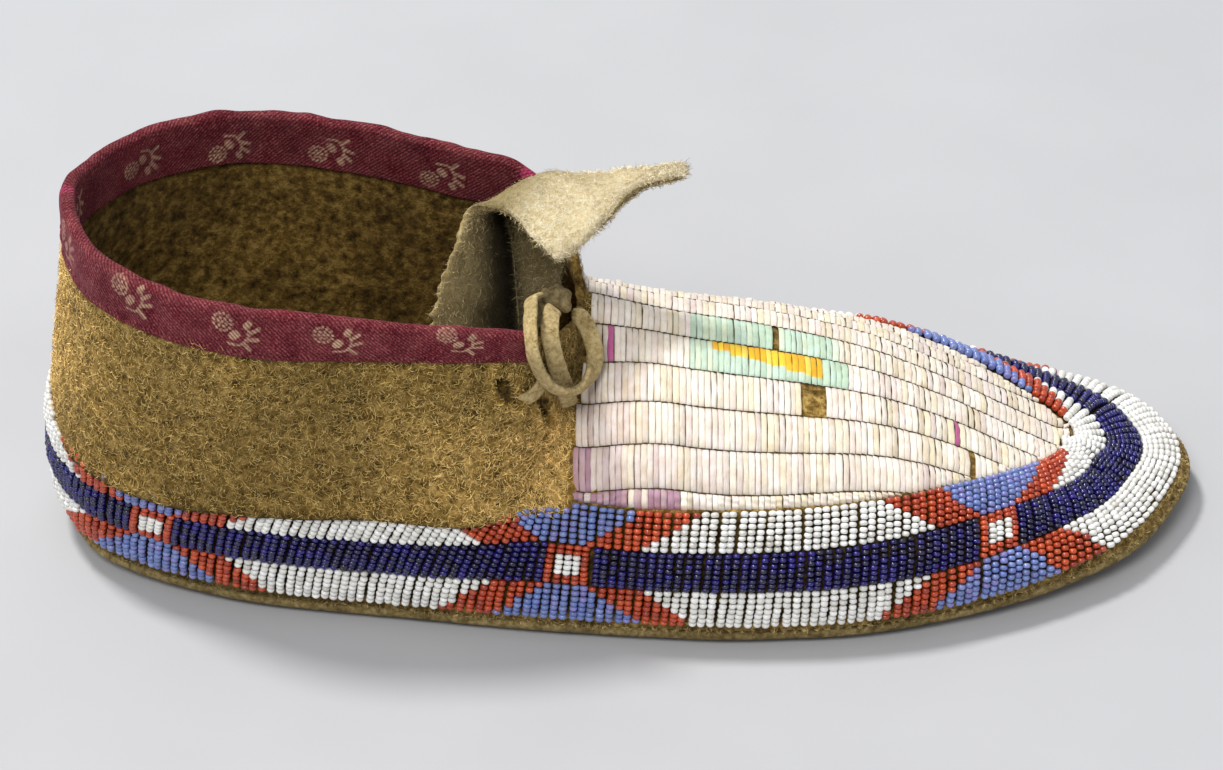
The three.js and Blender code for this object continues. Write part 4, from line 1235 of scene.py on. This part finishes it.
def make_binding(side, name, seed):
    h = np.linspace(0.0, CUFF_STATION, 430)
    length = run(skin(h, side, height(h, side))[0])
    outside, inside, bend = 10.0, 12.0, 1.62
    wrap = math.pi * bend
    w = np.linspace(0, outside + wrap + inside, 84)
    hh, ww = np.meshgrid(h, w, indexing="ij")
    narrow = (cuff_depth(h, side) / outside)[:, None]
    top = np.broadcast_to(height(h, side)[:, None], hh.shape)
    ripple = 0.35 * noise(np.stack([length, length * 0, length * 0 + seed], -1), 7, 3)[:, None]
    down = np.where(ww < outside, outside - ww, 0) * narrow
    down_in = np.where(ww > outside + wrap, ww - outside - wrap, 0)
    over = np.clip((ww - outside) / wrap, 0, 1) * math.pi
    hem = np.exp(-((ww - 0.5) / 0.7)**2) * 0.35
    puff = 0.5 * np.clip(np.sin(math.pi * np.clip((ww - 1) / 9.5, 0, 1)), 0, 1)
    wrinkle = noise(np.stack([length[:, None] + ww * 0.7, ww * 0.8, ww * 0 + seed], -1), (5.5, 9, 9), 4)
    folds = noise(np.stack([length[:, None] - ww * 0.5, ww * 0.6, ww * 0], -1), (2.6, 8, 8), 6)
    beat = 0.5 + 0.5 * np.cos(length[:, None] * 2 * math.pi / 2.6)
    stitches = 0.22 * np.exp(-((ww - 1.5) / 0.6)**2) * beat
    pleats = noise(np.stack([length[:, None] + ww * 0.25, ww * 0.25, ww * 0 + seed], -1), (3.4, 9, 9), 2)
    above = 0.70 + hem + puff * (0.6 + 0.6 * wrinkle)
    above = above + 0.36 * wrinkle + 0.22 * folds + 0.2 * pleats - stitches
    outer, n_outer = skin(hh, side, top - down * (1 + ripple * 0.05), above)
    inset = -LEATHER - 0.55 - 0.25 * (wrinkle + 1) * np.minimum(1, down_in)
    inner, n_inner = skin(hh, side, top - down_in, inset)
    middle, n = skin(hh, side, top, -LEATHER / 2)
    lower, _ = skin(hh, side, top - 1.0, -LEATHER / 2)
    rise = unit(middle - lower)
    swell = (bend + 0.3 * wrinkle * np.sin(over) + (above - 0.62) * (1 + np.cos(over)) / 2)[..., None]
    arch = middle + n * np.cos(over)[..., None] * swell + rise * np.sin(over)[..., None] * swell
    points = np.where((ww < outside)[..., None], outer,
                      np.where((ww > outside + wrap)[..., None], inner, arch))
    facing = np.where((ww < outside)[..., None], n_outer,
                      np.where((ww > outside + wrap)[..., None], -n_inner,
                               n * np.cos(over)[..., None] + rise * np.sin(over)[..., None]))
    back = points - facing * 0.42
    rows, columns = hh.shape
    count = rows * columns
    front = grid_faces(rows, columns, flip=side > 0)
    rear = grid_faces(rows, columns, flip=side < 0, start=count)
    rim = rim_faces(rows, columns, flip=side > 0)
    u = np.broadcast_to(length[:, None], hh.shape)
    colour = print_cloth(u, ww, seed)
    # Painted shade: a narrow band just above the hem roll is darkened by 0.35, as in a crease.
    colour = colour * (1 - 0.35 * np.exp(-((ww - 1.1) / 0.35)**2))[..., None]
    # The stitched end and the join at the heel are a brighter magenta.
    end = smooth((u - length[-1] + 4.5) / 1.5) if side > 0 else 1 - smooth((u - 2.0) / 1.2)
    colour = colour * (1 - end[..., None]) + linear((176, 48, 96)) * end[..., None]
    uv = np.stack([u, ww], -1) * MM
    # Painted shade: the cloth's back face is coloured at 0.6 of the front.
    obj = piece(name, np.concatenate([points.reshape(-1, 3), back.reshape(-1, 3)]),
                list(front) + list(rear) + rim, calico.material,
                tint=np.concatenate([colour.reshape(-1, 3), colour.reshape(-1, 3) * 0.6]),
                uv=np.concatenate([uv.reshape(-1, 2), uv.reshape(-1, 2)]))
    node = name.replace("_cloth", "")
    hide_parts(node)
    return obj


make_binding(OUTER, "outer_cuff_binding_cloth", 3)
make_binding(INNER, "inner_cuff_binding_cloth", 8)

# ---- The tongue ----
pale_suede = suede("pale_suede", (222, 204, 158), (244, 230, 192), (253, 246, 220), 1.3)


def make_tongue():
    rows, columns = 150, 66
    lines = [spline([row[k] for row in TONGUE_ROWS], rows) for k in range(4)]
    sheet = np.array([spline([line[i] for line in lines], columns) for i in range(rows)])
    facing = grid_normals(sheet)
    if facing[rows * 3 // 4, columns // 2, 2] < 0:
        facing = -facing
    u = np.linspace(0, 1, rows)[:, None]
    v = np.linspace(-1, 1, columns)[None]
    frayed = 1 + 0.045 * noise(sheet, 2.0, 4) + 0.035 * noise(sheet, 0.9, 5)
    centre = sheet[:, columns // 2][:, None]
    sheet = centre + (sheet - centre) * frayed[..., None]
    thick = 1.0 * np.sqrt(np.clip(1 - np.abs(v)**8, 0.02, 1)) * np.sqrt(np.clip((1 - u) / 0.03, 0.05, 1))
    buckle = 0.7 * noise(sheet, 9, 2)
    sheet = sheet + facing * buckle[..., None]
    # The stem folds into a deep channel, out of the light, and its outer edge curls to the front.
    channel = np.exp(-((v + 0.26) / 0.30)**2) * (1 - smooth((u - 0.34) / 0.16))
    sheet = sheet + np.array([1.5, 6.5, -2.0]) * channel[..., None]
    upper = napped(sheet + facing * thick[..., None], facing, 0.30, 0.9, 2)
    under = napped(sheet - facing * thick[..., None], -facing, 0.30, 0.9, 3)
    count = rows * columns
    front, rear = grid_faces(rows, columns), grid_faces(rows, columns, flip=True, start=count)
    rim = rim_faces(rows, columns)
    flap = smooth((u - 0.42) / 0.12)
    level = 0.84 + 0.10 * noise(sheet, 8, 1) + 0.10 * (1 - smooth((u - 0.4) / 0.1)) * noise(sheet, 2.2, 6)
    brown = np.array([0.50, 0.45, 0.32])
    left = smooth((-0.42 - v) / 0.2)
    # Painted shade: the stem darkens to 0.04 in the depth of its channel.
    stem = brown * (0.62 + 0.75 * left)[..., None] * (1 - 0.96 * channel**0.6)[..., None]
    pale = np.array([1.04, 1.02, 0.98])
    top_tint = level[..., None] * (brown * (1 - flap)[..., None] + flap[..., None] * pale)
    # Painted shade: the flap's under face is darkened by 0.3.
    under_tint = level[..., None] * (stem * (1 - 0.3 * flap)[..., None])
    edge_pale = (1 + 0.15 * np.exp(-(1 - np.abs(v)) / 0.06))[..., None]
    obj = piece("tongue_leather", np.concatenate([upper.reshape(-1, 3), under.reshape(-1, 3)]),
                list(front) + list(rear) + rim, pale_suede,
                tint=np.concatenate([(top_tint * edge_pale).reshape(-1, 3),
                                     (under_tint * edge_pale).reshape(-1, 3)]), body=None)
    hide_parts("tongue")
    edge_weight = np.exp(-(1 - np.abs(v)) / 0.04) + 1.5 * np.exp(-(1 - u) / 0.03) + 0.05
    nap = fibres("tongue_nap", upper, facing, edge_weight * (u > 0.35), top_tint, 7000, (0.5, 1.4), 77,
                 width=0.09, body=None, lift=0.2)
    nap_under = fibres("tongue_under_nap", under, -facing, edge_weight * 0.5 + 0.5 + 0 * v, under_tint * 1.35,
                       9000, (0.8, 2.2), 78, body=None, lift=0.45)
    for part in (obj, nap, nap_under):
        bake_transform(part)


make_tongue()

# ---- Seams and the strand of lace on the flap ----
sinew = Surface("sinew", Roughness=0.6)
fibre = sinew.noise(1, 4, sinew.stretched((1.2, 1.2, 4.0)))
sinew.colour(sinew.ramp(fibre, (0.3, (84, 66, 38)), (0.6, (146, 122, 78))))
sinew.bump(fibre, 0.25)
for node in ("sole_seam_sinew", "heel_seam_sinew"):
    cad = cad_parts[node]
    cad.data.materials.clear()
    cad.data.materials.append(sinew.material)


def make_strand():
    """The lace's short run on the outer flap, from under the binding to its slit."""
    h = np.array([0.800, 0.790, 0.778, 0.768]) * ANKLE
    places, n = skin(h, OUTER, height(h, OUTER) - np.array([8.0, 10.5, 13.0, 15.0]),
                     np.array([0.9, 1.7, 1.6, 0.2]))
    strip("lace_strand_strip", places, 3.6, 1.5, n[1], 30, ["lace_strand"], 6)


make_strand()

# ---- Floor and light ----
floor = bpy.data.meshes.new("floor")
floor.from_pydata([(-4, -4, 0), (4, -4, 0), (4, 4, 0), (-4, 4, 0)], [], [(0, 1, 2, 3)])
ground = bpy.data.objects.new("floor", floor)
bpy.context.scene.collection.objects.link(ground)
paper = Surface("pale_paper", Roughness=0.9)
paper.colour(paper.ramp(paper.noise(60, 2), (0.3, (178, 178, 179)), (0.7, (182, 182, 183))))
ground.data.materials.append(paper.material)

world = bpy.data.worlds.new("studio")
world.use_nodes = True
world.node_tree.nodes["Background"].inputs["Color"].default_value = (0.93, 0.95, 1.0, 1)
world.node_tree.nodes["Background"].inputs["Strength"].default_value = 0.52
bpy.context.scene.world = world


def lamp(name, place, size, power, aim=(0, 0, 0.03)):
    data = bpy.data.lights.new(name, "AREA")
    data.shape, data.size, data.energy = "DISK", size, power
    obj = bpy.data.objects.new(name, data)
    obj.location = place
    obj.rotation_euler = (Vector(aim) - Vector(place)).to_track_quat("-Z", "Y").to_euler()
    bpy.context.scene.collection.objects.link(obj)


lamp("key", (-0.9, 0.6, 2.4), 0.45, 54)
lamp("fill", (-0.6, -1.6, 2.2), 1.1, 36)
bpy.context.scene.view_settings.view_transform = "Standard"
